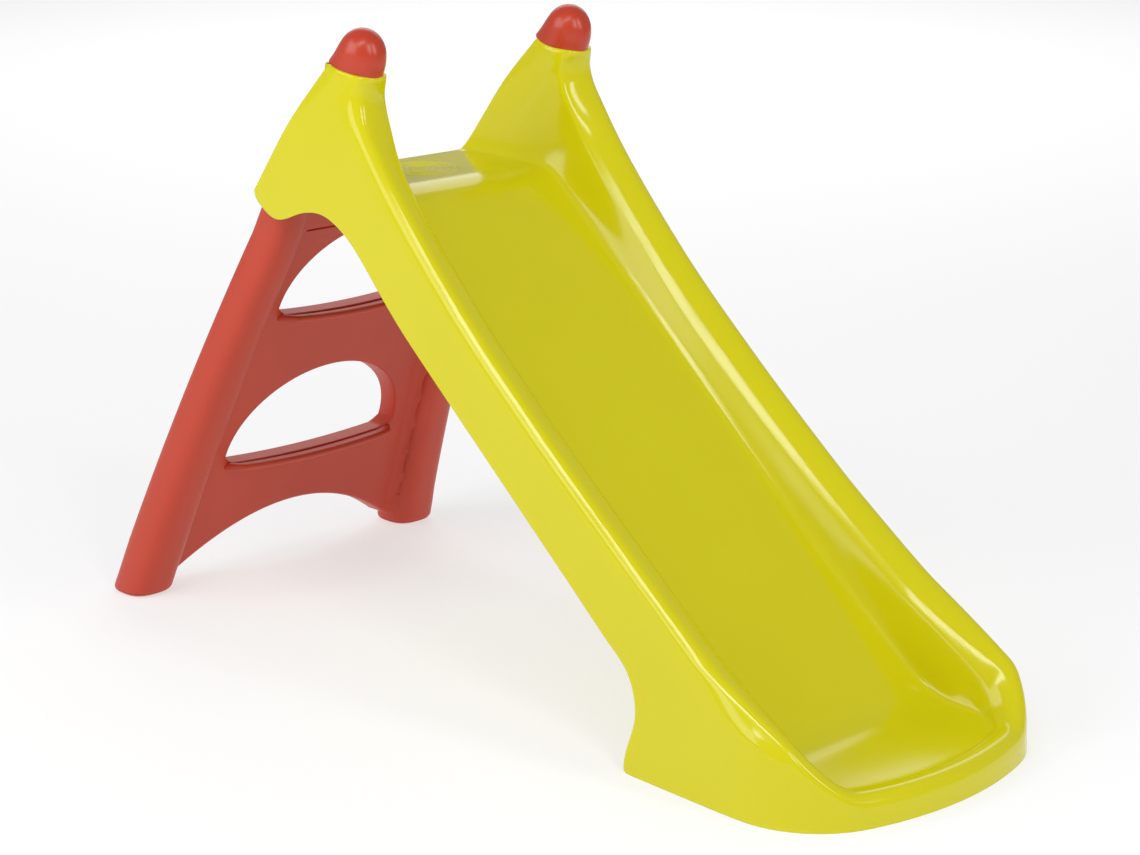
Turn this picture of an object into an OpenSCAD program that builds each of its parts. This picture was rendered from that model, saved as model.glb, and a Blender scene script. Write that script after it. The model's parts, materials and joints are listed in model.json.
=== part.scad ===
// Folding toddler slide: one moulded chute, one moulded ladder that folds under it, and the small
// parts that hold them together. +Z is up, the slide runs down towards -Y and the ladder is at +Y.

/* [Overall] */
// Height of the standing platform above the floor
platform_height = 541; // [500:1:600]
// Slope of the sliding bed, degrees from level
bed_angle = 41; // [39:0.5:43]
// Flat width of the bed between its fillets
bed_width = 236; // [220:1:285]
// Width of each side rail, from the bed fillet to the outer face
rail_width = 69; // [66:1:83]
// Length of the platform, from its front break to its rear edge
platform_length = 156; // [148:1:188]

/* [Chute moulding] */
// Wall thickness of the chute moulding
chute_wall = 3.5; // [2.5:0.1:4.2]
// Rail height above the bed, halfway down
rail_height = 43; // [38:1:52]
// Height of the two horns above the platform
horn_height = 143; // [125:1:172]
// Height of the run-out floor at the foot of the bed
tray_height = 33; // [27:1:40]
// Length of the run-out, from the foot of the bed to the front lip
tray_length = 150; // [140:1:180]
// How much wider the run-out is than the bed, on each side
tray_flare = 9; // [4:1:14]
// Plan radius of the two front corners
corner_radius = 108; // [95:1:115]
// Height of the front lip above the run-out floor
lip_height = 5; // [3:0.5:9]

/* [Ladder moulding] */
// Wall thickness of the ladder moulding
ladder_wall = 3.2; // [2.5:0.1:4]
// Lean of the posts at the hinge, degrees from upright
hinge_lean = 29.5; // [27:0.5:31]
// Lean of the posts at the foot, degrees from upright
foot_lean = 21.5; // [19:0.5:24]
// Width of a post across the slide, at the foot
post_foot_width = 64; // [56:1:76]
// Depth of a post front to back, at the foot
post_foot_depth = 62; // [56:1:74]
// Sideways splay of each post, from hinge to foot
post_splay = 56; // [44:1:68]
// Height of the lower step
lower_step_height = 155; // [140:1:186]
// Height of the upper step
upper_step_height = 357; // [335:1:370]
// Depth of a step, front to back
step_depth = 44; // [37:1:53]

/* [Hinge] */
// Diameter of the two hinge pins
pin_diameter = 12; // [9:0.5:14.5]
// Depth of the hinge axis below the platform
hinge_drop = 20; // [19:0.5:23]
// Distance of the hinge axis in front of the platform's rear edge
hinge_inset = 21; // [20:0.5:24]
// Radial clearance of a hinge pin in a post
pin_clearance = 0.1; // [0.05:0.01:0.2]
// Gap kept between parts that turn past each other
turning_gap = 0.8; // [0.5:0.1:1.5]

/* [Grip knobs] */
// Width of a knob across the slide
knob_width = 52; // [46:1:56]
// Length of a knob along the slide
knob_length = 66; // [54:1:72]
// Height of a knob above the horn
knob_height = 45; // [38:1:54]
// Diameter of the spigot that enters the horn
spigot_diameter = 22; // [18:1:26]
// Diameter of the knob screws
screw_diameter = 4; // [3:0.5:5]

/* [Hidden] */
$fn = 64;

lime = [0.86, 0.83, 0.15];
coral = [0.80, 0.27, 0.20];
steel = [0.75, 0.76, 0.78];
nylon = [0.93, 0.93, 0.90];

// Half widths across the slide
half_bed = bed_width / 2;
half_chute = half_bed + rail_width;

// The post's path from the hinge to the floor is an arc, so its run follows from its two leans.
hinge_z = platform_height - hinge_drop;
post_radius = hinge_z / (sin(hinge_lean) - sin(foot_lean));
post_run = post_radius * (cos(foot_lean) - cos(hinge_lean));
post_length = post_radius * (hinge_lean - foot_lean) * PI / 180;

// Places along the slide, with the middle of the whole object at y = 0
bed_run = (platform_height - tray_height) / tan(bed_angle);
foot_reach = post_foot_depth / 2 / cos(foot_lean);
run_out_draft = 0.045;
front_reach = bed_run + tray_length + run_out_draft * (tray_height + lip_height);
rear_reach = platform_length - hinge_inset + post_run + foot_reach;
break_y = (front_reach - rear_reach) / 2;
tray_y = break_y - bed_run;
front_y = tray_y - tray_length;
platform_y = break_y + platform_length;
hinge_y = platform_y - hinge_inset;

// ---- Curves -------------------------------------------------------------------------------

function blend(a, b, t) = a + (b - a) * t;
function clamp01(t) = min(1, max(0, t));
function ease(t) = let (c = clamp01(t)) c * c * (3 - 2 * c);

// Slope of a curve at one of its points, from the points on either side of it
function slope_at(pts, i) =
    let (a = max(0, i - 1), b = min(len(pts) - 1, i + 1))
    (pts[b][1] - pts[a][1]) / (pts[b][0] - pts[a][0]);

// A smooth curve through a few points with rising first values, level beyond its ends
function curve(pts, x, i = 0) =
    x <= pts[0][0] ? pts[0][1]
    : i > len(pts) - 2 ? pts[len(pts) - 1][1]
    : x > pts[i + 1][0] ? curve(pts, x, i + 1)
    : let (w = pts[i + 1][0] - pts[i][0], t = (x - pts[i][0]) / w, t2 = t * t, t3 = t2 * t)
      (2 * t3 - 3 * t2 + 1) * pts[i][1] + (t3 - 2 * t2 + t) * w * slope_at(pts, i)
      + (3 * t2 - 2 * t3) * pts[i + 1][1] + (t3 - t2) * w * slope_at(pts, i + 1);

// ---- Chute --------------------------------------------------------------------------------

// The bed line runs into the platform and into the run-out floor through two soft bends.
top_bend = 8;
foot_bend = 18;
tray_slope = 3;
function bed_line(y) = platform_height + (y - break_y) * tan(bed_angle);
function tray_line(y) = tray_height + (y - tray_y) * tan(tray_slope);
function soft_max(a, b, r) = (a + b + sqrt((a - b) * (a - b) + r * r)) / 2;
function soft_min(a, b, r) = (a + b - sqrt((a - b) * (a - b) + r * r)) / 2;
function bed_z(y) =
    soft_max(tray_line(y), soft_min(platform_height, bed_line(y), top_bend), foot_bend);

// Distance along the bed line from the front break, positive downhill, and height off that line
function along(y) =
    -(y - break_y) * cos(bed_angle) - (bed_z(y) - platform_height) * sin(bed_angle);
function off_line(y) =
    -(y - break_y) * sin(bed_angle) + (bed_z(y) - platform_height) * cos(bed_angle);

// Plan of the front: a corner arc on each side, then one long arc across the lip
corner_sweep = 72;
half_tray = half_chute + tray_flare;
corner_x = half_tray - corner_radius;
lip_radius = (corner_x + corner_radius * cos(corner_sweep)) / cos(corner_sweep);
corner_y = front_y + corner_radius * sin(corner_sweep) + lip_radius * (1 - sin(corner_sweep));
lip_y = corner_y + (lip_radius - corner_radius) * sin(corner_sweep);

// Lean of a cross-section: square to the bed, a little steeper at the rear edge, upright at the foot
rear_steepen = 3.5;
upright_run = 90;
function section_lean(y) =
    y > break_y ? bed_angle - rear_steepen * ease((y - break_y) / platform_length)
    : bed_angle * clamp01((y - corner_y) / upright_run);

// Rail height over the plain rail: the horn at the top, and the deeper run-out at the foot
horn_rise = [[-100, 105], [-84, 70], [-60, 49], [-30, 36], [7, 26], [55, 17], [128, 8], [220, 0]];
foot_rise = [[-27, 30], [25, 27], [72, 17], [150, 8], [300, 0]];
function rail_curve(y) =
    rail_height + curve(horn_rise, along(y)) + curve(foot_rise, y - tray_y)
    - (y > break_y - 100 ? off_line(y) : 0);
function horn_flat(y) = (platform_height + horn_height - bed_z(y)) / cos(section_lean(y));
function crest(y) = min(rail_curve(y), horn_flat(y));

// Depth of the skirt below the bed line: the cheek's lobe and scallop, the straight skirt, and the
// hollow cut behind the run-out, down to the floor
cheek_edge = [[-119, 114], [-111, 121], [-80, 117], [-62, 104], [-44, 73], [-22, 48], [0, 37],
              [38, 31], [94, 36], [149, 41]];
skirt_depth = 38;
hollow_cut = [[72, 114], [78, 93], [83, 70], [91, 54], [106, 41], [123, 35], [150, 38]];
function to_floor(y) = bed_z(y) / cos(section_lean(y));
function skirt(y) =
    y > break_y - 140 ? curve(cheek_edge, along(y)) + off_line(y)
    : y - tray_y > 150 ? blend(skirt_depth, 41, clamp01((y - tray_y - 150) / 300))
    : y - tray_y > 70 ? min(curve(hollow_cut, y - tray_y), to_floor(y))
    : to_floor(y);

// How much of the section is horn rather than rail
function horn_share(y) = ease((20 - along(y)) / 90);

// One half of a cross-section as [inward, up] from the outer face at bed level: the skirt, the
// rounded crest, the broad sloping top, the inner wall and the bed fillet.
crest_round = 14;
fillet = 9;
function foot_share(y) = ease((tray_y + 180 - y) / 200);
function section(rise, depth, share, wide, draft) =
    let (
        ro = min(crest_round, 0.6 * (rise + depth)),
        drop = blend(min(19, 0.45 * rise), 5, share),
        ws = blend(47, rail_width - 17, share) * wide,
        wf = (rail_width - fillet) * wide,
        rf = min(fillet, 0.3 * rise),
        top = rise - drop
    )
    [
        [-draft * (depth + rise), -depth],
        [-draft * (depth + rise) / 2, (rise - ro - depth) / 2],
        [0, rise - ro],
        [ro * (1 - cos(30)), rise - ro * (1 - sin(30))],
        [ro * (1 - cos(60)), rise - ro * (1 - sin(60))],
        [ro, rise],
        [blend(ro, ws, 0.45), rise - drop * 0.3],
        [blend(ro, ws, 0.8), rise - drop * 0.68],
        [ws, top],
        [ws + (wf - ws) * 0.32, blend(top, rf, 0.16)],
        [ws + (wf - ws) * 0.62, blend(top, rf, 0.5)],
        [wf, rf],
        [wf + (rail_width * wide - wf) * 0.3, rf * 0.3],
        [rail_width * wide, 0]
    ];

// The same half section moved inwards by the wall, square to itself
function unit(v) = v / norm(v);
function inset(pts, t) = [
    for (i = [0 : len(pts) - 1])
        i == 0 ? pts[0] + [t, 0]
        : i == len(pts) - 1 ? pts[i] + [0, -t]
        : let (d = unit(pts[i + 1] - pts[i - 1])) pts[i] + t * [d[1], -d[0]]
];

// A ring is [outer point at bed level, inward direction, up direction, section].
function side_ring(y, inner) =
    let (
        lean = section_lean(y),
        x = half_chute + tray_flare * foot_share(y),
        pts = section(crest(y), skirt(y), horn_share(y), 1, run_out_draft * foot_share(y))
    )
    [[x, y, bed_z(y)], [-1, 0, 0], [0, -sin(lean), cos(lean)], inner ? inset(pts, chute_wall) : pts];

function front_ring(turn, inner) =
    let (
        on_lip = turn > corner_sweep,
        r = on_lip ? lip_radius : corner_radius,
        centre = on_lip ? [0, lip_y] : [corner_x, corner_y],
        out = [cos(turn), -sin(turn)],
        p = centre + r * out,
        share = ease(turn / corner_sweep),
        wide = blend(1, 0.5, share),
        edge_y = p[1] - out[1] * rail_width * wide,
        z = bed_z(edge_y),
        rise = blend(crest(corner_y), lip_height, share),
        pts = section(rise, z, 0, wide, run_out_draft)
    )
    [[p[0], p[1], z], [-out[0], -out[1], 0], [0, 0, 1], inner ? inset(pts, chute_wall) : pts];

function ring_points(r) = [for (q = r[3]) r[0] + q[0] * r[1] + q[1] * r[2]];
function mirrored(p) = [-p[0], p[1], p[2]];

// Stations down the slide: close together on the cheeks and round the hollow cut
cheek_steps = [for (t = [0, 0.045, 0.085, 0.13, 0.18, 0.24, 0.3, 0.36, 0.42, 0.48, 0.54, 0.6, 0.68,
                         0.78, 0.9]) platform_y - t * platform_length];
upper_steps = [for (d = [6, 28, 52, 80, 112, 150]) break_y - d];
cut_steps = [150, 136, 123, 114, 106, 98, 91, 87, 83, 80, 78, 75, 72, 69, 65, 55, 40, 22, 5, -12];
middle_steps = [for (i = [1 : 4]) blend(break_y - 150, tray_y + 150, i / 5)];
side_steps = concat(cheek_steps, upper_steps, middle_steps, [for (d = cut_steps) tray_y + d],
                    [corner_y]);
corner_turns = [for (i = [1 : 7]) corner_sweep * i / 7];
columns = 6;
lip_turns = [for (j = [1 : columns - 1]) blend(corner_sweep, 180 - corner_sweep, j / columns)];

function chute_rings(inner) = concat(
    [for (y = side_steps) ring_points(side_ring(y, inner))],
    [for (a = corner_turns) ring_points(front_ring(a, inner))]);
function lip_rings(inner) = [
    for (a = lip_turns)
        let (r = ring_points(front_ring(min(a, 180 - a), inner)))
        a > 90 ? [for (p = r) mirrored(p)] : r
];

// The skin is a strip of rings all the way round the slide's edge, and rows that fill the bed
// between the two sides. Its outer and inner faces are joined along the rim and the rear edge.
side_count = len(side_steps) + len(corner_turns);
ring_count = 2 * side_count + columns - 1;
section_count = len(section(10, 10, 0, 1, 0));
skin_count = ring_count * section_count + (side_count - 1) * (columns - 1);

function skin_points(inner) =
    let (right = chute_rings(inner), lip = lip_rings(inner), last = section_count - 1)
    concat(
        [for (r = right) each r],
        [for (r = lip) each r],
        [for (i = [side_count - 1 : -1 : 0]) each [for (p = right[i]) mirrored(p)]],
        [for (i = [0 : side_count - 2], j = [1 : columns - 1])
            blend(right[i][last], mirrored(right[i][last]), j / columns)]);

function at(i, m) = i * section_count + m;
function bed_at(i, j) =
    j == 0 ? at(i, section_count - 1)
    : j == columns ? at(ring_count - 1 - i, section_count - 1)
    : i == side_count - 1 ? at(side_count - 1 + j, section_count - 1)
    : ring_count * section_count + i * (columns - 1) + j - 1;

skin_faces = concat(
    [for (i = [0 : ring_count - 2], m = [0 : section_count - 2])
        [at(i, m), at(i + 1, m), at(i + 1, m + 1), at(i, m + 1)]],
    [for (i = [0 : side_count - 2], j = [0 : columns - 1])
        [bed_at(i, j), bed_at(i + 1, j), bed_at(i + 1, j + 1), bed_at(i, j + 1)]]);

// The rim, in order: the floor and skirt edge all the way round, then back across the rear edge
rim = concat(
    [for (i = [0 : ring_count - 1]) at(i, 0)],
    [for (m = [1 : section_count - 1]) at(ring_count - 1, m)],
    [for (j = [columns - 1 : -1 : 0]) bed_at(0, j)],
    [for (m = [section_count - 2 : -1 : 1]) at(0, m)]);

function split(f) = [[f[0], f[1], f[2]], [f[0], f[2], f[3]]];
function reversed(f) = [for (i = [len(f) - 1 : -1 : 0]) f[i]];

module chute_skin() {
    faces = concat(
        [for (f = skin_faces) each split(f)],
        [for (f = skin_faces, g = split(f)) [for (i = reversed(g)) i + skin_count]],
        [for (i = [0 : len(rim) - 1])
            let (a = rim[i], b = rim[(i + 1) % len(rim)])
            each split([a, a + skin_count, b + skin_count, b])]);
    polyhedron(concat(skin_points(false), skin_points(true)), faces);
}

// Places of the hinge, across the slide, from the outer face inwards
cavity_outer = half_chute - chute_wall;
post_outer = cavity_outer - 2.5;
post_width = 46;
post_inner = post_outer - post_width;
ear_outer = post_inner - 3.5;
ear_thickness = 4;
ear_inner = ear_outer - ear_thickness;
boss_radius = pin_diameter / 2 + 5;
boss_length = 9;
ear_radius = pin_diameter / 2 + 7;

// Turns a shape drawn along +Z so that it lies along +X, at the hinge axis
module at_hinge(x) {
    translate([x, hinge_y, hinge_z])
        rotate([0, 90, 0])
            children();
}

module both_sides() {
    children();
    mirror([1, 0, 0])
        children();
}

// Closing wall across the open rear end of a horn, set in a little from the rear edge
rear_set_in = 0.8;
module horn_rear_wall() {
    y = platform_y;
    lean = section_lean(y);
    pts = inset(section(crest(y), skirt(y), horn_share(y), 1, 0), chute_wall / 2);
    outline = concat([for (i = [0 : section_count - 3]) pts[i]],
                     [[rail_width - fillet - chute_wall / 2, -skirt(y)]]);
    multmatrix([
        [-1, 0, 0, half_chute],
        [0, -sin(lean), -cos(lean), y],
        [0, cos(lean), -sin(lean), bed_z(y)],
        [0, 0, 0, 1]])
        translate([0, 0, rear_set_in])
            linear_extrude(chute_wall)
                polygon(outline);
}

// Grip knob seat: a level oval rim a little forward of the middle of the horn's top, with a flat
// inside for the washer and a hole for the knob's spigot
horn_x = half_chute - rail_width / 2 + 3;
horn_top = platform_height + horn_height;
flat_run = 82;
seat_forward = 5;
function top_meets(y) = y - horn_height * tan(section_lean(y));
horn_y = (top_meets(platform_y) + top_meets(break_y + flat_run / cos(bed_angle))) / 2 - seat_forward;
seat_rim = 3;
seat_depth = 12;
washer_diameter = spigot_diameter + 10;
module oval(width, length) {
    polygon([for (a = [0 : 10 : 350]) [width / 2 * cos(a), length / 2 * sin(a)]]);
}
module knob_seat() {
    wide = knob_width + 2 * seat_rim;
    long = knob_length + 2 * seat_rim;
    translate([horn_x, horn_y, horn_top - seat_depth])
        difference() {
            linear_extrude(seat_depth)
                oval(wide, long);
            translate([0, 0, -1])
                linear_extrude(seat_depth + 1 - chute_wall)
                    oval(wide - 2 * chute_wall, long - 2 * chute_wall);
        }
}

// Hinge ear under the platform, beside the inner face of the post
module hinge_ear() {
    at_hinge(ear_inner)
        cylinder(r = ear_radius, h = ear_thickness);
    translate([ear_inner, hinge_y - ear_radius, hinge_z])
        cube([ear_thickness, 2 * ear_radius, hinge_drop + 2 * fillet]);
}

// Stiffening ribs across the underside of the bed
rib_thickness = 3;
rib_depth = 26;
rib_count = 5;
module bed_ribs() {
    for (i = [1 : rib_count]) {
        y = blend(break_y - 40, tray_y + 60, (i - 1) / (rib_count - 1));
        translate([-half_bed + 4, y, bed_z(y) - chute_wall / 2])
            rotate([bed_angle, 0, 0])
                translate([0, 0, -rib_depth])
                    cube([2 * half_bed - 8, rib_thickness, rib_depth]);
    }
}

module slide_chute() {
    color(lime)
        difference() {
            union() {
                chute_skin();
                bed_ribs();
                both_sides() {
                    horn_rear_wall();
                    knob_seat();
                    hinge_ear();
                    at_hinge(cavity_outer - boss_length)
                        cylinder(r = boss_radius, h = boss_length + chute_wall / 2);
                }
            }
            both_sides() {
                at_hinge(ear_inner - 1)
                    cylinder(d = pin_diameter, h = ear_thickness + 2);
                at_hinge(cavity_outer - boss_length - 1)
                    cylinder(d = pin_diameter, h = boss_length + 1);
                translate([horn_x, horn_y, horn_top - 2 * seat_depth])
                    cylinder(d = spigot_diameter + 0.6, h = 4 * seat_depth);
                translate([horn_x, horn_y, horn_top - chute_wall - seat_depth])
                    cylinder(d = washer_diameter + 2, h = seat_depth);
            }
        }
}

// ---- Ladder -------------------------------------------------------------------------------

// A post's middle line, by distance from the hinge: an arc in side view, splayed below the cheek
splay_start = 60;
function post_lean_at(s) = hinge_lean - s / post_radius * 180 / PI;
function post_share(s) = max(0, (s - splay_start) / (post_length - splay_start));
function post_y(s) = hinge_y + post_radius * (cos(post_lean_at(s)) - cos(hinge_lean));
function post_z(s) = hinge_z - post_radius * (sin(hinge_lean) - sin(post_lean_at(s)));
function post_x(s) = post_outer - post_width / 2 + post_splay * post_share(s);
function post_wide(s) = blend(post_width, post_foot_width, post_share(s));

// Depth of a post: small enough at the hinge to turn inside the cheek
// The post's round head turns in the horn, just clear of its rear wall
rear_gap = 0.536;
rear_lean = bed_angle - rear_steepen;
rear_room = hinge_inset * cos(rear_lean) + hinge_drop * sin(rear_lean);
post_end_depth = 2 * (rear_room - chute_wall - rear_set_in - rear_gap);
post_neck_depth = 52;
function post_deep(s) =
    s < 40 ? blend(post_end_depth, post_neck_depth, clamp01(s / 40))
    : blend(post_neck_depth, post_foot_depth, (s - 40) / (post_length - 40));

// A point on the ladder's side view: a distance down the post and a distance behind its middle
function side_point(s, back) =
    [post_y(s) + back * cos(post_lean_at(s)), post_z(s) + back * sin(post_lean_at(s))];

// Post section: a rounded oblong
post_sides = 24;
post_squareness = 0.72;
function round_power(c) = sign(c) * pow(abs(c), post_squareness);
function post_ring(s, t) = [
    for (k = [0 : post_sides - 1])
        let (a = 360 * k / post_sides,
             q = side_point(s, (post_deep(s) / 2 - t) * round_power(sin(a))))
        [post_x(s) + (post_wide(s) / 2 - t) * round_power(cos(a)), q[0], q[1]]
];

// A post's solid between two distances down it, smaller all round by t
post_rings = 14;
module post_solid(from, to, t) {
    rings = [for (i = [0 : post_rings]) post_ring(blend(from, to, i / post_rings), t)];
    faces = concat(
        [[for (k = [post_sides - 1 : -1 : 0]) k]],
        [for (i = [0 : post_rings - 1], k = [0 : post_sides - 1])
            let (n = (k + 1) % post_sides, a = i * post_sides, b = a + post_sides)
            each [[a + k, a + n, b + n], [a + k, b + n, b + k]]],
        [[for (k = [0 : post_sides - 1]) post_rings * post_sides + k]]);
    polyhedron([for (r = rings) each r], faces);
}

past_floor = 40;
beyond = 700; // larger than the ladder, for shapes that only cut
cap_thickness = 5;
cap_spigot = 14;
module above(z) {
    intersection() {
        children();
        translate([0, hinge_y, z])
            cylinder(r = beyond, h = beyond);
    }
}

// Web between the posts, seen from the side: a curved band
web_front = -5;
web_back = 24;
web_top = 22;
module web_band(front, back, from) {
    steps = [for (i = [0 : 10]) blend(from, post_length + past_floor, i / 10)];
    rotate([90, 0, 90])
        linear_extrude(2 * half_chute + 2 * post_splay, center = true)
            polygon(concat([for (s = steps) side_point(s, front)],
                           reversed([for (s = steps) side_point(s, back)])));
}

// Step opening, seen from the front: a half-moon whose lower edge bows down a little
lower_opening = [134, 105];
upper_opening = [119, 97];
step_bow = 7;
corner_lift = 15;
function step_edge(size, z, x) = z + step_bow * pow(x / size[0], 2);
function opening_outline(size, z) = concat(
    [for (a = [0 : 9 : 180]) [size[0] * cos(a), z + corner_lift + size[1] * sin(a)]],
    [for (t = [-0.97 : 0.194 : 0.98]) [size[0] * t, step_edge(size, z, size[0] * t)]]);

module seen_from_front(depth) {
    translate([0, hinge_y + depth / 2, 0])
        rotate([90, 0, 0])
            linear_extrude(depth)
                children();
}

// Outline of the web: down to the arch between the feet
arch_height = 82;
arch_half = 183;
arch_fall = 73;
module web_outline() {
    top_half = post_x(0) - 6;
    foot_half = post_x(post_length) - 8;
    difference() {
        polygon([[-top_half, hinge_z + 20], [top_half, hinge_z + 20],
                 [post_x(post_length / 2), hinge_z / 2], [foot_half, cap_thickness],
                 [-foot_half, cap_thickness], [-post_x(post_length / 2), hinge_z / 2]]);
        polygon(concat([[-foot_half, -1]],
                       [for (t = [-1 : 0.125 : 1])
                           [arch_half * t, arch_height - arch_fall * t * t]],
                       [[foot_half, -1]]));
        polygon(opening_outline(lower_opening, lower_step_height));
        polygon(opening_outline(upper_opening, upper_step_height));
    }
}

// Hollow in the back of the web: all but a wall round its edges, and upright ribs
web_ribs = [-124, -62, 0, 62, 124];
module web_hollow() {
    difference() {
        offset(delta = -ladder_wall)
            web_outline();
        for (x = web_ribs)
            translate([x - ladder_wall / 2, 0])
                square([ladder_wall, platform_height]);
    }
}

// One step: a shelf across the bottom of an opening, from the back of the web to its nosing
step_thickness = 7;
module ladder_step(size, z) {
    s = (hinge_z - z) / cos((hinge_lean + foot_lean) / 2);
    back_y = side_point(s, web_back)[0];
    reach = size[0] + 4;
    top = [for (t = [-1 : 0.2 : 1.01]) [reach * t, step_edge(size, z, reach * t)]];
    bottom = [for (p = top) p - [0, step_thickness]];
    translate([0, back_y, 0])
        rotate([90, 0, 0])
            linear_extrude(step_depth)
                polygon(concat(top, reversed(bottom)));
}

module ladder_shell() {
    both_sides() {
        above(cap_thickness)
            post_solid(0, post_length + past_floor, 0);
        at_hinge(post_inner)
            cylinder(d = post_end_depth, h = post_width);
    }
    intersection() {
        difference() {
            web_band(web_front, web_back, web_top);
            intersection() {
                web_band(web_front + ladder_wall, web_back + 20, web_top + ladder_wall);
                seen_from_front(2 * beyond)
                    web_hollow();
            }
        }
        seen_from_front(2 * beyond)
            web_outline();
    }
    ladder_step(lower_opening, lower_step_height);
    ladder_step(upper_opening, upper_step_height);
}

module ladder_frame() {
    color(coral)
        difference() {
            ladder_shell();
            both_sides() {
                post_solid(post_end_depth / 2 + ladder_wall, post_length + past_floor, ladder_wall);
                at_hinge(post_inner - 1)
                    cylinder(d = pin_diameter + 2 * pin_clearance, h = post_width + 2);
                at_hinge(cavity_outer - boss_length - turning_gap)
                    cylinder(r = boss_radius + turning_gap, h = boss_length);
            }
        }
}

// Cap that closes the foot of a post, with a spigot inside it
module foot_cap() {
    fit = 0.15;
    color(coral)
        union() {
            intersection() {
                post_solid(post_length - 60, post_length + past_floor, 0);
                translate([0, hinge_y, 0])
                    cylinder(r = beyond, h = cap_thickness);
            }
            intersection() {
                post_solid(post_length - 60, post_length + past_floor, ladder_wall + fit);
                translate([0, hinge_y, cap_thickness / 2])
                    cylinder(r = beyond, h = cap_thickness / 2 + cap_spigot);
            }
        }
}

// ---- Hinge hardware -----------------------------------------------------------------------

head_thickness = 4;
clip_thickness = 1.2;
groove_depth = 1;

// Headed pin, pushed in from under the platform, through the ear and the post into the boss
module hinge_pin() {
    tip = cavity_outer - 0.5;
    color(steel)
        difference() {
            union() {
                at_hinge(ear_inner - head_thickness)
                    cylinder(d = pin_diameter + 8, h = head_thickness);
                at_hinge(ear_inner - 1)
                    cylinder(d = pin_diameter, h = tip - ear_inner + 1);
            }
            at_hinge(ear_outer)
                difference() {
                    cylinder(d = pin_diameter + 2, h = clip_thickness);
                    translate([0, 0, -1])
                        cylinder(d = pin_diameter - 2 * groove_depth, h = clip_thickness + 2);
                }
        }
}

// Spring clip in the pin's groove, against the ear, open on one side
module hinge_clip() {
    color(steel)
        at_hinge(ear_outer)
            difference() {
                cylinder(d = pin_diameter + 6, h = clip_thickness);
                translate([0, 0, -1])
                    cylinder(d = pin_diameter - 2 * groove_depth, h = clip_thickness + 2);
                translate([-pin_diameter, -pin_diameter / 3, -1])
                    cube([pin_diameter, 2 * pin_diameter / 3, clip_thickness + 2]);
            }
}

// Washer that spaces the post off the clip
module hinge_washer() {
    gap = post_inner - ear_outer - clip_thickness;
    color(nylon)
        at_hinge(ear_outer + clip_thickness)
            difference() {
                cylinder(d = pin_diameter + 10, h = gap - 0.3);
                translate([0, 0, -1])
                    cylinder(d = pin_diameter + 0.4, h = gap + 2);
            }
}

// ---- Grip knobs ---------------------------------------------------------------------------

spigot_length = 12;
knob_sides = 28;
knob_rings = 7;
knob_lean = 13;

// The knob's dome: oval rings that shrink as they rise and move forwards
function knob_ring(i) =
    let (t = i / knob_rings, h = sin(90 * t), r = pow(cos(90 * t), 0.8))
    [for (k = [0 : knob_sides - 1])
        [knob_width / 2 * r * cos(360 * k / knob_sides),
         knob_length / 2 * r * sin(360 * k / knob_sides) - knob_lean * h * h,
         knob_height * h]];

module knob_dome() {
    rings = [for (i = [0 : knob_rings - 1]) knob_ring(i)];
    tip = knob_rings * knob_sides;
    faces = concat(
        [[for (k = [0 : knob_sides - 1]) k]],
        [for (i = [0 : knob_rings - 2], k = [0 : knob_sides - 1])
            let (n = (k + 1) % knob_sides, a = i * knob_sides, b = a + knob_sides)
            each [[a + k, b + k, b + n], [a + k, b + n, a + n]]],
        [for (k = [0 : knob_sides - 1])
            [tip - knob_sides + k, tip, tip - knob_sides + (k + 1) % knob_sides]]);
    polyhedron(concat([for (r = rings) each r], [[0, -knob_lean, knob_height]]), faces);
}

module at_horn(z) {
    translate([horn_x, horn_y, horn_top + z])
        children();
}

module grip_knob() {
    color(coral)
        difference() {
            at_horn(0)
                union() {
                    knob_dome();
                    translate([0, 0, -chute_wall - 0.5])
                        cylinder(d = spigot_diameter, h = chute_wall + 1);
                }
            at_horn(-chute_wall - 2)
                cylinder(d = screw_diameter, h = spigot_length + chute_wall);
        }
}

washer_thickness = 2;
washer_z = -chute_wall - 0.5 - washer_thickness;
module knob_washer() {
    color(steel)
        at_horn(washer_z)
            difference() {
                cylinder(d = washer_diameter, h = washer_thickness);
                translate([0, 0, -1])
                    cylinder(d = screw_diameter + 0.5, h = washer_thickness + 2);
            }
}

module knob_screw() {
    color(steel)
        at_horn(washer_z)
            union() {
                cylinder(d = screw_diameter, h = spigot_length);
                translate([0, 0, -3])
                    cylinder(d = 2.2 * screw_diameter, h = 3);
            }
}

module left() {
    mirror([1, 0, 0])
        children();
}

slide_chute();
ladder_frame();
left() grip_knob();  // grip_knob_left
grip_knob();  // grip_knob_right
left() knob_washer();  // knob_washer_left
knob_washer();  // knob_washer_right
left() knob_screw();  // knob_screw_left
knob_screw();  // knob_screw_right
left() hinge_pin();  // hinge_pin_left
hinge_pin();  // hinge_pin_right
left() hinge_washer();  // hinge_washer_left
hinge_washer();  // hinge_washer_right
left() hinge_clip();  // hinge_clip_left
hinge_clip();  // hinge_clip_right
left() foot_cap();  // foot_cap_left
foot_cap();  // foot_cap_right
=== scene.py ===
"""A folding toddler slide: one glossy chute, a moulded ladder that folds under it, and grip knobs.

Lengths in the sections are in millimetres; MM turns them into the metres of the frame. The slide
runs down towards -Y, the ladder stands at +Y, and the left half mirrors the right half.
"""

import json
import math

import bmesh
import bpy
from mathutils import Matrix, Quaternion, Vector


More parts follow.
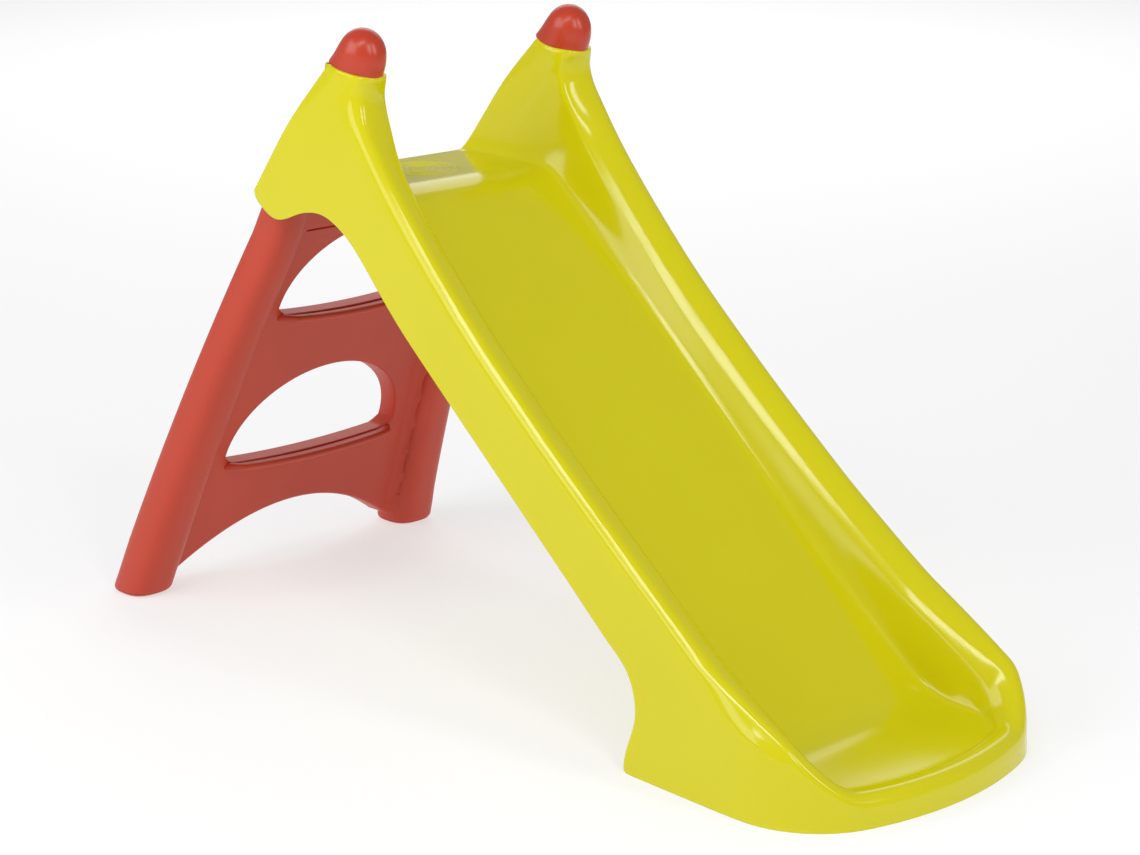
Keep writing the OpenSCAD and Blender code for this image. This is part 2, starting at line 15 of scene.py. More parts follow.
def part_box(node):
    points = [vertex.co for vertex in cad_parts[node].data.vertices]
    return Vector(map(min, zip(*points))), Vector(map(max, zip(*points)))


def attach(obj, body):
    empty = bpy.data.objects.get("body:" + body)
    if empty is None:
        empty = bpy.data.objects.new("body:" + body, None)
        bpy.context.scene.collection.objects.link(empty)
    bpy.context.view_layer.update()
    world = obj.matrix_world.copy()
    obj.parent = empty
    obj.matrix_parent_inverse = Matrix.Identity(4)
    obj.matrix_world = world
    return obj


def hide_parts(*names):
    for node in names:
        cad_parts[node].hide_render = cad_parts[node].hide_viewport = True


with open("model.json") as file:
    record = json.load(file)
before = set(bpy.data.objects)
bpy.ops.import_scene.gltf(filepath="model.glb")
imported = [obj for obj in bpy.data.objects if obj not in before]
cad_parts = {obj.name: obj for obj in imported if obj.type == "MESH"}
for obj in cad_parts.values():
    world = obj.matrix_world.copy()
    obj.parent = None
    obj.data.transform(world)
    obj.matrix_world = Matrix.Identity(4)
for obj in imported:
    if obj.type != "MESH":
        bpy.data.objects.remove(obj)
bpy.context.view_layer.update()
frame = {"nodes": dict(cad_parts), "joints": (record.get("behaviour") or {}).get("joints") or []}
MM = 0.001


# ---- Camera -----------------------------------------------------------------------------------
# A long lens, from in front and to the left of the run-out, a little above the horns.

CAMERA_AIM = Vector((0.025, 0.023, 0.267))
CAMERA_DISTANCE = 3.1
CAMERA_AZIMUTH = math.radians(-44.03)
CAMERA_ELEVATION = math.radians(15.59)
LENS = 85.5

camera_back = Vector((
    math.sin(CAMERA_AZIMUTH) * math.cos(CAMERA_ELEVATION),
    -math.cos(CAMERA_AZIMUTH) * math.cos(CAMERA_ELEVATION),
    math.sin(CAMERA_ELEVATION),
))
camera = bpy.data.objects.new("camera", bpy.data.cameras.new("camera"))
bpy.context.scene.collection.objects.link(camera)
camera.data.lens = LENS
camera.location = CAMERA_AIM + camera_back * CAMERA_DISTANCE
camera.rotation_mode = "QUATERNION"
camera.rotation_quaternion = (-camera_back).to_track_quat("-Z", "Y")
bpy.context.scene.camera = camera


# ---- Chute ------------------------------------------------------------------------------------
# One hollow moulding, 3.5 mm thick: bed, rails, outer skirts, platform, run-out and the two horns
# that hold the knobs. Its cross-section changes all the way down; the skin follows it as one mesh.

def linear(hex_colour):
    """A colour written as sRGB hex, as linear RGBA."""
    values = [int(hex_colour[i:i + 2], 16) / 255 for i in (0, 2, 4)]
    return [v / 12.92 if v <= 0.04045 else ((v + 0.055) / 1.055) ** 2.4 for v in values] + [1]


def node(tree, kind, settings=None, inputs=None, **links):
    """Adds a node, sets its properties and input values, and links inputs to other sockets."""
    made = tree.nodes.new(kind)
    for key, value in (settings or {}).items():
        setattr(made, key, value)
    for key, value in (inputs or {}).items():
        made.inputs[key].default_value = value
    for key, socket in links.items():
        tree.links.new(socket, made.inputs[key.replace("_", " ")])
    return made


def new_material(name):
    """An empty node material, with its output node."""
    made = bpy.data.materials.new(name)
    made.use_nodes = True
    made.node_tree.nodes.clear()
    return made, made.node_tree, node(made.node_tree, "ShaderNodeOutputMaterial")


def object_noise(tree, size_mm, detail, seed):
    """Noise on Object coordinates whose features are about size_mm across."""
    place = node(tree, "ShaderNodeTexCoord")
    return node(tree, "ShaderNodeTexNoise", {"noise_dimensions": "4D"},
                {"Scale": 1 / (size_mm * MM), "Detail": detail, "W": seed},
                Vector=place.outputs["Object"])


# Lime polyethylene, moulded in a polished tool: a clear gloss over a slightly milky colour, faint
# flow clouds from the moulding, and a very shallow ripple in the skin that bends the highlights
CHUTE_LIGHT = "D8D010"
CHUTE_DEEP = "D2CA0C"
FLOW_CLOUD = 140
SKIN_RIPPLE = 26
SKIN_GRAIN = 1.4

chute_plastic, tree, output = new_material("polyethylene_moulded_lime")
clouds = object_noise(tree, FLOW_CLOUD, 2, 3.0)
colour = node(tree, "ShaderNodeMix", {"data_type": "RGBA"},
              {6: linear(CHUTE_DEEP), 7: linear(CHUTE_LIGHT)}, Factor=clouds.outputs["Fac"])
haze = node(tree, "ShaderNodeMapRange", None, {"To Min": 0.1, "To Max": 0.16},
            Value=clouds.outputs["Fac"])
ripple = node(tree, "ShaderNodeBump", None, {"Strength": 0.12, "Distance": 0.6 * MM},
              Height=object_noise(tree, SKIN_RIPPLE, 1, 5.0).outputs["Fac"])
grain = node(tree, "ShaderNodeBump", None, {"Strength": 0.05, "Distance": 0.1 * MM},
             Height=object_noise(tree, SKIN_GRAIN, 2, 7.0).outputs["Fac"],
             Normal=ripple.outputs["Normal"])
shader = node(tree, "ShaderNodeBsdfPrincipled", None,
              {"IOR": 1.5, "Subsurface Weight": 0.12, "Subsurface Scale": 4 * MM,
               "Subsurface Radius": (1.0, 0.9, 0.2), "Specular IOR Level": 0.4},
              Base_Color=colour.outputs[2], Roughness=haze.outputs["Result"],
              Normal=grain.outputs["Normal"])
tree.links.new(shader.outputs[0], output.inputs["Surface"])

# The bed, from the platform down to the run-out
PLATFORM_HEIGHT = 541
BED_ANGLE = 41
HALF_BED = 118
RAIL_WIDTH = 69
PLATFORM_LENGTH = 156
RAIL_HEIGHT = 43
TRAY_HEIGHT = 33
TRAY_LENGTH = 150
TRAY_FLARE = 9
CORNER_RADIUS = 108
LIP_HEIGHT = 5
CHUTE_WALL = 3.5
HALF_CHUTE = HALF_BED + RAIL_WIDTH

# Places along the slide: the lip, the run-out's end, the bend at the top, and the platform's rear
FRONT_DRAFT = 0.045
LIP_STANDS_OUT = 0.3
cad_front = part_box("slide_chute")[0].y / MM
FRONT_Y = cad_front + FRONT_DRAFT * (TRAY_HEIGHT + LIP_HEIGHT) - LIP_STANDS_OUT
TRAY_Y = FRONT_Y + TRAY_LENGTH
BREAK_Y = TRAY_Y + (PLATFORM_HEIGHT - TRAY_HEIGHT) / math.tan(math.radians(BED_ANGLE))
PLATFORM_Y = BREAK_Y + PLATFORM_LENGTH


def sin(degrees):
    return math.sin(math.radians(degrees))


def cos(degrees):
    return math.cos(math.radians(degrees))


def tan(degrees):
    return math.tan(math.radians(degrees))


def mix(a, b, t):
    """From a to b as t goes from 0 to 1."""
    return a + (b - a) * t


def ease(t):
    """0 to 1, starting and ending softly, as t goes from 0 to 1."""
    t = min(1, max(0, t))
    return t * t * (3 - 2 * t)


def curve(points, x):
    """A smooth curve through a few points with rising first values, level beyond its ends."""
    if x <= points[0][0]:
        return points[0][1]
    for i in range(len(points) - 1):
        if x <= points[i + 1][0]:
            break
    else:
        return points[-1][1]

    def slope(k):
        a, b = points[max(0, k - 1)], points[min(len(points) - 1, k + 1)]
        return (b[1] - a[1]) / (b[0] - a[0])

    w = points[i + 1][0] - points[i][0]
    t = (x - points[i][0]) / w
    return ((2 * t ** 3 - 3 * t ** 2 + 1) * points[i][1] + (t ** 3 - 2 * t ** 2 + t) * w * slope(i)
            + (3 * t ** 2 - 2 * t ** 3) * points[i + 1][1] + (t ** 3 - t ** 2) * w * slope(i + 1))


TOP_BEND = 8
FOOT_BEND = 18
TRAY_SLOPE = 3


def bed_z(y):
    """Height of the bed: platform, slope and run-out, joined by two soft bends."""
    bed = PLATFORM_HEIGHT + (y - BREAK_Y) * tan(BED_ANGLE)
    tray = TRAY_HEIGHT + (y - TRAY_Y) * tan(TRAY_SLOPE)
    top = (PLATFORM_HEIGHT + bed - math.hypot(PLATFORM_HEIGHT - bed, TOP_BEND)) / 2
    return (tray + top + math.hypot(tray - top, FOOT_BEND)) / 2


def along(y):
    """Distance of the bed's point at y down the slope from the top bend."""
    return -(y - BREAK_Y) * cos(BED_ANGLE) - (bed_z(y) - PLATFORM_HEIGHT) * sin(BED_ANGLE)


def off_line(y):
    """Distance of the bed's point at y off the slope's straight line."""
    return -(y - BREAK_Y) * sin(BED_ANGLE) + (bed_z(y) - PLATFORM_HEIGHT) * cos(BED_ANGLE)


# In plan each front corner is an arc, and the lip between them an arc that meets both smoothly
CORNER_SWEEP = 72
CORNER_X = HALF_CHUTE + TRAY_FLARE - CORNER_RADIUS
LIP_RADIUS = (CORNER_X + CORNER_RADIUS * cos(CORNER_SWEEP)) / cos(CORNER_SWEEP)
CORNER_Y = FRONT_Y + CORNER_RADIUS * sin(CORNER_SWEEP) + LIP_RADIUS * (1 - sin(CORNER_SWEEP))
LIP_Y = CORNER_Y + (LIP_RADIUS - CORNER_RADIUS) * sin(CORNER_SWEEP)
REAR_STEEPEN = 3.5
UPRIGHT_RUN = 125


def section_lean(y):
    """Lean of the cross-section at y: square to the slope, upright at the corner."""
    if y > BREAK_Y:
        return BED_ANGLE - REAR_STEEPEN * ease((y - BREAK_Y) / PLATFORM_LENGTH)
    return BED_ANGLE * ease((y - CORNER_Y) / UPRIGHT_RUN)


# How much the crest rises over a plain rail, along the horn and near the foot, and the heights that
# the crest itself passes through near the foot
HORN_RISE = [(-100, 105), (-84, 70), (-60, 49), (-30, 36), (7, 26), (55, 17), (128, 8), (220, 0)]
FOOT_RISE = [(-27, 30), (25, 27), (72, 17), (150, 8), (300, 0)]
FOOT_CREST = [(-28, 107.6), (5, 125.8), (41, 148.1), (85, 178.6), (127, 210.6), (169, 243.4), (211, 277)]
CREST_RUN = 190
CREST_BLEND = 60

# The seats of the knobs, on the horns' tops
SEAT_X = 156.5
SEAT_Y = 172.5
SEAT_Z = 683
SEAT_TILT = 0.22
SEAT_EDGE = 2


def seat_z(y):
    """Height of the horn's top, which falls towards the front."""
    return SEAT_Z + SEAT_TILT * (y - SEAT_Y)


def crest(y):
    """Height of the rail's crest over the bed, square to the bed, and how far it is a seat."""
    rail = RAIL_HEIGHT + curve(HORN_RISE, along(y)) + curve(FOOT_RISE, y - TRAY_Y)
    if y > BREAK_Y - 100:
        rail -= off_line(y)
    lean = section_lean(y)
    if y < TRAY_Y + CREST_RUN:
        even = rail
        for _ in range(12):
            height = curve(FOOT_CREST, y - even * sin(lean) - TRAY_Y)
            even = (height - bed_z(y)) / cos(lean)
        rail = mix(rail, even, ease((TRAY_Y + CREST_RUN - y) / CREST_BLEND))
    seat = (seat_z(y) - bed_z(y)) / (cos(lean) + SEAT_TILT * sin(lean))
    rise = (rail + seat - math.hypot(rail - seat, SEAT_EDGE)) / 2
    return rise, ease((rail - seat + 20) / 16)


CHEEK_EDGE = [(-119, 114), (-111, 121), (-80, 117), (-62, 104), (-44, 73), (-22, 48), (0, 37),
              (38, 31), (94, 36), (149, 41)]
HOLLOW_CUT = [(72, 114), (78, 93), (83, 70), (91, 54), (106, 41), (123, 35), (150, 38)]
CHEEK_FROM = 140
HOLLOW_FROM = 70
HOLLOW_TO = 150


def skirt(y):
    """Depth of the outer skirt under the bed line, square to the bed."""
    to_floor = bed_z(y) / cos(section_lean(y))
    if y > BREAK_Y - CHEEK_FROM:
        return curve(CHEEK_EDGE, along(y)) + off_line(y)
    if y - TRAY_Y > HOLLOW_TO:
        return mix(HOLLOW_CUT[-1][1], CHEEK_EDGE[-1][1], min(1, (y - TRAY_Y - HOLLOW_TO) / 300))
    if y - TRAY_Y > HOLLOW_FROM:
        return min(curve(HOLLOW_CUT, y - TRAY_Y), to_floor)
    return to_floor


def foot_share(y):
    """How far the side at y has the run-out's flare and draft."""
    return ease((TRAY_Y + 180 - y) / 200)


FILLET = 9
CREST_ROUND = 14
SEAT_ROUND = 3
SHOULDER_IN = 47


def section(rise, depth, horn, level, wide, draft):
    """Half of a cross-section, as (inward, up) from the outer face at bed level. horn and level
    say how far the rail has become a horn, and the horn's round top a level seat."""
    rounding = mix(min(CREST_ROUND, 0.6 * (rise + depth)), SEAT_ROUND, level)
    drop = mix(mix(min(16, 0.4 * rise), 7, horn), 0.5, level)
    shoulder = mix(mix(SHOULDER_IN, RAIL_WIDTH - 13, horn), RAIL_WIDTH - 11, level) * wide
    fillet_in = (RAIL_WIDTH - FILLET) * wide
    fillet_up = min(FILLET, 0.3 * rise)
    start = rise - rounding
    top = rise - drop
    # The outer face, the round crest, the broad top that falls inwards, the inner wall, the fillet
    points = []
    for t in (0, 0.04, 0.3, 0.55, 0.8, 0.95):
        up = mix(-depth, start, t)
        points.append((-draft * (start - up), up))
    for a in (22, 45, 68):
        points.append((rounding * (1 - cos(a)), start + rounding * sin(a)))
    for t, fall in ((0.0, 0.0), (0.35, 0.16), (0.7, 0.5), (0.92, 0.86)):
        points.append((mix(rounding * 1.05, shoulder, t), rise - drop * fall))
    for t, u in ((0.03, 0.02), (0.12, 0.1), (0.36, 0.35), (0.62, 0.64), (0.87, 0.91)):
        points.append((mix(shoulder, fillet_in, t), mix(top, fillet_up, u)))
    points.append((mix(fillet_in, RAIL_WIDTH * wide, 0.28), fillet_up * 0.45))
    points.append((mix(fillet_in, RAIL_WIDTH * wide, 0.75), fillet_up * 0.08))
    points.append((RAIL_WIDTH * wide + 4 * wide, 0))
    return points


def side_ring(y, inset=0.0):
    """Points of the right-hand cross-section at y, shrunk by inset."""
    lean = section_lean(y)
    rise, level = crest(y)
    share = ease((20 - along(y)) / 90)
    points = section(rise, skirt(y), share, level, 1, FRONT_DRAFT * foot_share(y))
    x = HALF_CHUTE + TRAY_FLARE * foot_share(y)
    ring = []
    for k, (inward, up) in enumerate(points):
        if inset:
            a, b = points[max(0, k - 1)], points[min(len(points) - 1, k + 1)]
            size = math.hypot(b[0] - a[0], b[1] - a[1])
            inward, up = inward + inset * (b[1] - a[1]) / size, up - inset * (b[0] - a[0]) / size
        ring.append(Vector((x - inward, y - up * sin(lean), bed_z(y) + up * cos(lean))))
    return ring


def front_ring(turn):
    """Points of the cross-section at an angle round the front corner, or across the lip."""
    on_lip = turn > CORNER_SWEEP
    radius = LIP_RADIUS if on_lip else CORNER_RADIUS
    centre = Vector((0, LIP_Y)) if on_lip else Vector((CORNER_X, CORNER_Y))
    out = Vector((cos(turn), -sin(turn)))
    share = ease(turn / CORNER_SWEEP)
    wide = mix(1, 0.5, share)
    rim = centre + radius * out
    z = bed_z(rim.y - out.y * RAIL_WIDTH * wide)
    points = section(mix(crest(CORNER_Y)[0], LIP_HEIGHT, share), z, 0, 0, wide, FRONT_DRAFT)
    return [Vector((rim.x - q * out.x, rim.y - q * out.y, z + up)) for q, up in points]


def mirrored(p):
    """The same point on the slide's left half."""
    return Vector((-p.x, p.y, p.z))


# Stations: the rear edge, the cheek, the slope, the hollow cut behind the run-out, the corner
REAR_ROUND = 2.5
station_shares = [0.016, 0.06, 0.11, 0.17, 0.23, 0.28, 0.3, 0.32, 0.345, 0.37, 0.4, 0.44, 0.49, 0.54,
                  0.6, 0.68, 0.78, 0.9]
stations = [PLATFORM_Y - t * PLATFORM_LENGTH for t in station_shares]
stations += [BREAK_Y - d for d in (6, 24, 44, 66, 90, 118, 150)]
stations += [mix(BREAK_Y - 150, TRAY_Y + 150, i / 7) for i in range(1, 7)]
stations += [TRAY_Y + d for d in (150, 136, 123, 114, 106, 98, 92, 88, 84, 81, 78, 75, 72, 69, 65, 55,
                                  40, 22, 4, -12)]
stations += [CORNER_Y]

# The first rings shrink into the rear wall of the horn; CAP_RINGS is how many
CAP_RINGS = 2
rings = [side_ring(PLATFORM_Y, 4 * REAR_ROUND), side_ring(PLATFORM_Y, REAR_ROUND), side_ring(PLATFORM_Y)]
rings += [side_ring(y) for y in stations]
CORNER_STEPS = 11
rings += [front_ring(CORNER_SWEEP * i / CORNER_STEPS) for i in range(1, CORNER_STEPS + 1)]
COLUMNS = 10
lip = []
for j in range(1, COLUMNS):
    turn = mix(CORNER_SWEEP, 180 - CORNER_SWEEP, j / COLUMNS)
    ring = front_ring(min(turn, 180 - turn))
    lip.append([mirrored(p) for p in ring] if turn > 90 else ring)


# The horn's top turns from the rail's oblong plan into the oval seat of its knob.
SEAT_HALF_WIDTH = 29.5
SEAT_HALF_LENGTH = 39.5
SEAT_BLEND = 62
RAIL_TOP_INNER = HALF_BED + 10
RAIL_TOP_MIDDLE = (RAIL_TOP_INNER + HALF_CHUTE) / 2
RAIL_TOP_HALF = (HALF_CHUTE - RAIL_TOP_INNER) / 2


def crest_y(z):
    """Where the front of the horn is at height z, found from its crest."""
    low, high = BREAK_Y - 60, PLATFORM_Y - 20
    for _ in range(30):
        y = (low + high) / 2
        rise = crest(y)[0]
        if bed_z(y) + rise * cos(section_lean(y)) < z:
            low = y
        else:
            high = y
    return y - crest(y)[0] * sin(section_lean(y))


def to_seat(p):
    """Moves a point of the right-hand horn towards the oval that its knob sits on."""
    share = min(1, max(0, (p.z - seat_z(p.y) + SEAT_BLEND) / SEAT_BLEND)) ** 1.3
    if share == 0 or p.x < HALF_BED - 4:
        return p
    z = min(p.z, SEAT_Z - 9)
    rear = PLATFORM_Y - (z - PLATFORM_HEIGHT) * tan(section_lean(PLATFORM_Y))
    front = crest_y(z)
    half_y, mid_y = (rear - front) / 2, (rear + front) / 2
    u = max(-1.0, min(1.0, (p.x - RAIL_TOP_MIDDLE) / RAIL_TOP_HALF))
    v = max(-1.0, min(1.0, (p.y - mid_y) / half_y))
    seat_x = SEAT_X + SEAT_HALF_WIDTH * u * math.sqrt(1 - v * v / 2)
    seat_y = SEAT_Y + SEAT_HALF_LENGTH * v * math.sqrt(1 - u * u / 2)
    return Vector((mix(p.x, seat_x, share), mix(p.y, seat_y, share),
                   p.z + SEAT_TILT * share * (mix(p.y, seat_y, share) - p.y)))


for ring in rings:
    ring[:] = [to_seat(p) for p in ring]

RING_POINTS = len(rings[0])
SIDE_RINGS = len(rings)

# The rails run into the corners without a break: their upper parts are evened out there
EVEN_FROM = 6
EVEN_PASSES = 50
near_foot = [i for i in range(CAP_RINGS, SIDE_RINGS - CORNER_STEPS + 3)
             if rings[i][-1].y < TRAY_Y + HOLLOW_TO]
for _ in range(EVEN_PASSES):
    for i in near_foot:
        for m in range(EVEN_FROM, RING_POINTS - 3):
            a, b, c = rings[i - 1][m], rings[i][m], rings[i + 1][m]
            before, after = (b - a).length, (c - b).length
            rings[i][m] = b.lerp(a.lerp(c, before / (before + after)), 0.5)

# Skin: rings all the way round the slide's edge, rows that fill the bed, and the horns' rear walls
verts = [p for r in rings for p in r] + [p for r in lip for p in r]
verts += [mirrored(p) for r in reversed(rings) for p in r]
RING_COUNT = 2 * SIDE_RINGS + COLUMNS - 1
first_fill = len(verts)
for i in range(SIDE_RINGS - 1):
    a = rings[i][-1]
    verts += [Vector((mix(a.x, -a.x, j / COLUMNS), a.y, a.z)) for j in range(1, COLUMNS)]


def ring_at(i, m):
    """Number of point m of ring i in the skin."""
    return i * RING_POINTS + m


def bed_at(i, j):
    """Number of the bed's point in row i and column j, from the right-hand rail to the left."""
    if j == 0:
        return ring_at(i, RING_POINTS - 1)
    if j == COLUMNS:
        return ring_at(RING_COUNT - 1 - i, RING_POINTS - 1)
    if i == SIDE_RINGS - 1:
        return ring_at(SIDE_RINGS - 1 + j, RING_POINTS - 1)
    return first_fill + i * (COLUMNS - 1) + j - 1


faces = [(ring_at(i, m), ring_at(i, m + 1), ring_at(i + 1, m + 1), ring_at(i + 1, m))
         for i in range(RING_COUNT - 1) for m in range(RING_POINTS - 1)]
faces += [(bed_at(i, j), bed_at(i, j + 1), bed_at(i + 1, j + 1), bed_at(i + 1, j))
          for i in range(CAP_RINGS, SIDE_RINGS - 1) for j in range(COLUMNS)]
for i in (0, RING_COUNT - 1):
    for m in range((RING_POINTS - 1) // 2):
        quad = [ring_at(i, m), ring_at(i, m + 1), ring_at(i, RING_POINTS - 2 - m),
                ring_at(i, RING_POINTS - 1 - m)]
        if quad[1] == quad[2]:
            quad.pop(2)
        faces.append(tuple(quad if i else reversed(quad)))

# The platform's rear edge turns down
TURN_DOWN = [(1.5, -0.9), (2.2, -3), (2.4, -9), (2.4, -16)]
rear_edge = [bed_at(CAP_RINGS, j) for j in range(COLUMNS + 1)]
row = rear_edge
for back, down in TURN_DOWN:
    start = len(verts)
    verts += [verts[k] + Vector((0, back, down)) for k in rear_edge]
    new_row = list(range(start, start + COLUMNS + 1))
    faces += [(row[j + 1], row[j], new_row[j], new_row[j + 1]) for j in range(COLUMNS)]
    row = new_row


def new_piece(name, points, polygons, material):
    """A mesh object from points in millimetres, smooth shaded."""
    mesh = bpy.data.meshes.new(name)
    mesh.from_pydata([p * MM for p in points], [], polygons)
    mesh.polygons.foreach_set("use_smooth", [True] * len(mesh.polygons))
    mesh.materials.append(material)
    mesh.update()
    piece = bpy.data.objects.new(name, mesh)
    bpy.context.scene.collection.objects.link(piece)
    return piece


def apply_modifiers(piece):
    """Turns a piece with live modifiers into a plain mesh."""
    bpy.context.view_layer.update()
    graph = bpy.context.evaluated_depsgraph_get()
    mesh = bpy.data.meshes.new_from_object(piece.evaluated_get(graph))
    piece.modifiers.clear()
    piece.data = mesh
    return piece


def outward(piece):
    """Makes an open or closed skin's faces agree, and point away from the middle of the mesh."""
    work = bmesh.new()
    work.from_mesh(piece.data)
    bmesh.ops.remove_doubles(work, verts=work.verts, dist=0.02 * MM)
    bmesh.ops.recalc_face_normals(work, faces=work.faces)
    work.to_mesh(piece.data)
    work.free()
    return piece


def join(name, *pieces):
    """One object from several plain meshes."""
    work = bmesh.new()
    for piece in pieces:
        work.from_mesh(piece.data)
    mesh = bpy.data.meshes.new(name)
    work.to_mesh(mesh)
    work.free()
    for slot in pieces[0].data.materials:
        mesh.materials.append(slot)
    joined = bpy.data.objects.new(name, mesh)
    bpy.context.scene.collection.objects.link(joined)
    for piece in pieces:
        bpy.data.objects.remove(piece)
    return joined


skin = new_piece("chute_skin", verts, faces, chute_plastic)
subdivide = skin.modifiers.new("smooth", "SUBSURF")
subdivide.levels = subdivide.render_levels = 2
subdivide.boundary_smooth = "PRESERVE_CORNERS"
wall = skin.modifiers.new("wall", "SOLIDIFY")
wall.thickness = CHUTE_WALL * MM
wall.offset = -1
apply_modifiers(skin)


def box_piece(name, low, high, material):
    """A box, for the flat webs that hang the hinge ears under the platform."""
    corners = [Vector((x, y, z)) for x in (low[0], high[0]) for y in (low[1], high[1])
               for z in (low[2], high[2])]
    sides = [(0, 1, 3, 2), (4, 6, 7, 5), (0, 4, 5, 1), (2, 3, 7, 6), (0, 2, 6, 4), (1, 5, 7, 3)]
    return new_piece(name, corners, sides, material)


def geometry_tree(name, *sizes):
    """A Geometry Nodes tree with named number inputs, its group input and its group output."""
    made = bpy.data.node_groups.new(name, "GeometryNodeTree")
    for size in sizes:
        made.interface.new_socket(size, in_out="INPUT", socket_type="NodeSocketFloat")
    made.interface.new_socket("Geometry", in_out="OUTPUT", socket_type="NodeSocketGeometry")
    return made, node(made, "NodeGroupInput"), node(made, "NodeGroupOutput")


def grown(name, made, values, material):
    """A plain mesh made by a Geometry Nodes tree with these input values."""
    piece = new_piece(name, [], [], material)
    modifier = piece.modifiers.new("grow", "NODES")
    modifier.node_group = made
    for item in made.interface.items_tree:
        if item.in_out == "INPUT" and item.name in values:
            modifier[item.identifier] = float(values[item.name])
    return apply_modifiers(piece)


# Ribs across the underside stiffen the bed: a row of flat bars down the slope
RIB_COUNT = 5
RIB_DEPTH = 24
RIB_THICKNESS = 3

ribs_tree, given, result = geometry_tree("bed_ribs", "Width", "Depth", "Thickness", "Pitch", "Count")
size = node(ribs_tree, "ShaderNodeCombineXYZ", X=given.outputs["Width"],
            Y=given.outputs["Thickness"], Z=given.outputs["Depth"])
bar = node(ribs_tree, "GeometryNodeMeshCube", Size=size.outputs[0])
step = node(ribs_tree, "ShaderNodeCombineXYZ", Y=given.outputs["Pitch"])
line = node(ribs_tree, "GeometryNodeMeshLine", {"mode": "OFFSET"},
            Count=given.outputs["Count"], Offset=step.outputs[0])
placed = node(ribs_tree, "GeometryNodeInstanceOnPoints", Points=line.outputs[0],
              Instance=bar.outputs[0])
real = node(ribs_tree, "GeometryNodeRealizeInstances", Geometry=placed.outputs[0])
painted = node(ribs_tree, "GeometryNodeSetMaterial", None, {"Material": chute_plastic},
               Geometry=real.outputs[0])
ribs_tree.links.new(painted.outputs[0], result.inputs[0])

first_rib = BREAK_Y - 40
last_rib = TRAY_Y + 60
rib_pitch = (first_rib - last_rib) / (RIB_COUNT - 1) / cos(BED_ANGLE)
ribs = grown("chute_ribs", ribs_tree,
             {"Width": 2 * HALF_BED * MM, "Depth": RIB_DEPTH * MM, "Thickness": RIB_THICKNESS * MM,
              "Pitch": -rib_pitch * MM, "Count": RIB_COUNT}, chute_plastic)
for v in ribs.data.vertices:
    q = v.co / MM
    down = q.z - RIB_DEPTH / 2 - CHUTE_WALL / 2
    v.co = Vector((q.x, first_rib + q.y * cos(BED_ANGLE) - down * sin(BED_ANGLE),
                   bed_z(first_rib) + q.y * sin(BED_ANGLE) + down * cos(BED_ANGLE))) * MM

# Raised rings moulded into the platform, as a grip for shoes
GRIP_RINGS = 5
GRIP_PITCH = 9
GRIP_RADIUS = 0.9

grip_tree, given, result = geometry_tree("grip_rings", "Pitch", "Radius", "Count")
line = node(grip_tree, "GeometryNodeMeshLine", {"mode": "OFFSET"}, {"Offset": (0, 0, 0)},
            Count=given.outputs["Count"])
index = node(grip_tree, "GeometryNodeInputIndex")
order = node(grip_tree, "ShaderNodeMath", {"operation": "ADD"}, {1: 1.0})
grip_tree.links.new(index.outputs[0], order.inputs[0])
reach = node(grip_tree, "ShaderNodeMath", {"operation": "MULTIPLY"})
grip_tree.links.new(order.outputs[0], reach.inputs[0])
grip_tree.links.new(given.outputs["Pitch"], reach.inputs[1])
circle = node(grip_tree, "GeometryNodeCurvePrimitiveCircle", None, {"Resolution": 96, "Radius": 1.0})
grow = node(grip_tree, "ShaderNodeCombineXYZ", None, {"Z": 1.0}, X=reach.outputs[0],
            Y=reach.outputs[0])
placed = node(grip_tree, "GeometryNodeInstanceOnPoints", Points=line.outputs[0],
              Instance=circle.outputs[0], Scale=grow.outputs[0])
loose = node(grip_tree, "GeometryNodeRealizeInstances", Geometry=placed.outputs[0])
profile = node(grip_tree, "GeometryNodeCurvePrimitiveCircle", None, {"Resolution": 10},
               Radius=given.outputs["Radius"])
swept = node(grip_tree, "GeometryNodeCurveToMesh", Curve=loose.outputs[0],
             Profile_Curve=profile.outputs[0])
real = node(grip_tree, "GeometryNodeRealizeInstances", Geometry=swept.outputs[0])
painted = node(grip_tree, "GeometryNodeSetMaterial", None, {"Material": chute_plastic},
               Geometry=real.outputs[0])
grip_tree.links.new(painted.outputs[0], result.inputs[0])
grips = grown("platform_rings", grip_tree,
              {"Pitch": GRIP_PITCH * MM, "Radius": GRIP_RADIUS * MM, "Count": GRIP_RINGS},
              chute_plastic)
grip_y = PLATFORM_Y - 0.42 * PLATFORM_LENGTH
grip_sink = 0.35 * GRIP_RADIUS
for v in grips.data.vertices:
    place_y = grip_y + v.co.y / MM
    v.co = Vector((v.co.x / MM, place_y, bed_z(place_y) - grip_sink + v.co.z / MM)) * MM
grips.data.polygons.foreach_set("use_smooth", [True] * len(grips.data.polygons))

# Hinge ears inside the cheeks, under the platform
hinge_y = frame["joints"][0]["pos_m"][1] / MM
hinge_z = frame["joints"][0]["pos_m"][2] / MM
EAR_INNER = 127.5
EAR_OUTER = 131.5
EAR_RADIUS = 13
EAR_TOP = PLATFORM_HEIGHT + 12
HINGE_SIDES = 40


def loft(name, rings, material):
    """A tube through rings of equal length, with its ends closed by flat faces."""
    count = len(rings[0])
    points = [p for r in rings for p in r]
    polygons = []
    for i in range(len(rings) - 1):
        for k in range(count):
            a, b = i * count + k, i * count + (k + 1) % count
            polygons.append((a, b, b + count, a + count))
    polygons.append(tuple(reversed(range(count))))
    polygons.append(tuple(range((len(rings) - 1) * count, len(rings) * count)))
    return new_piece(name, points, polygons, material)


def hinge_circle(x, radius):
    """Points round the hinge axis at x."""
    turns = [360 * k / HINGE_SIDES for k in range(HINGE_SIDES)]
    return [Vector((x, hinge_y + radius * cos(a), hinge_z + radius * sin(a))) for a in turns]


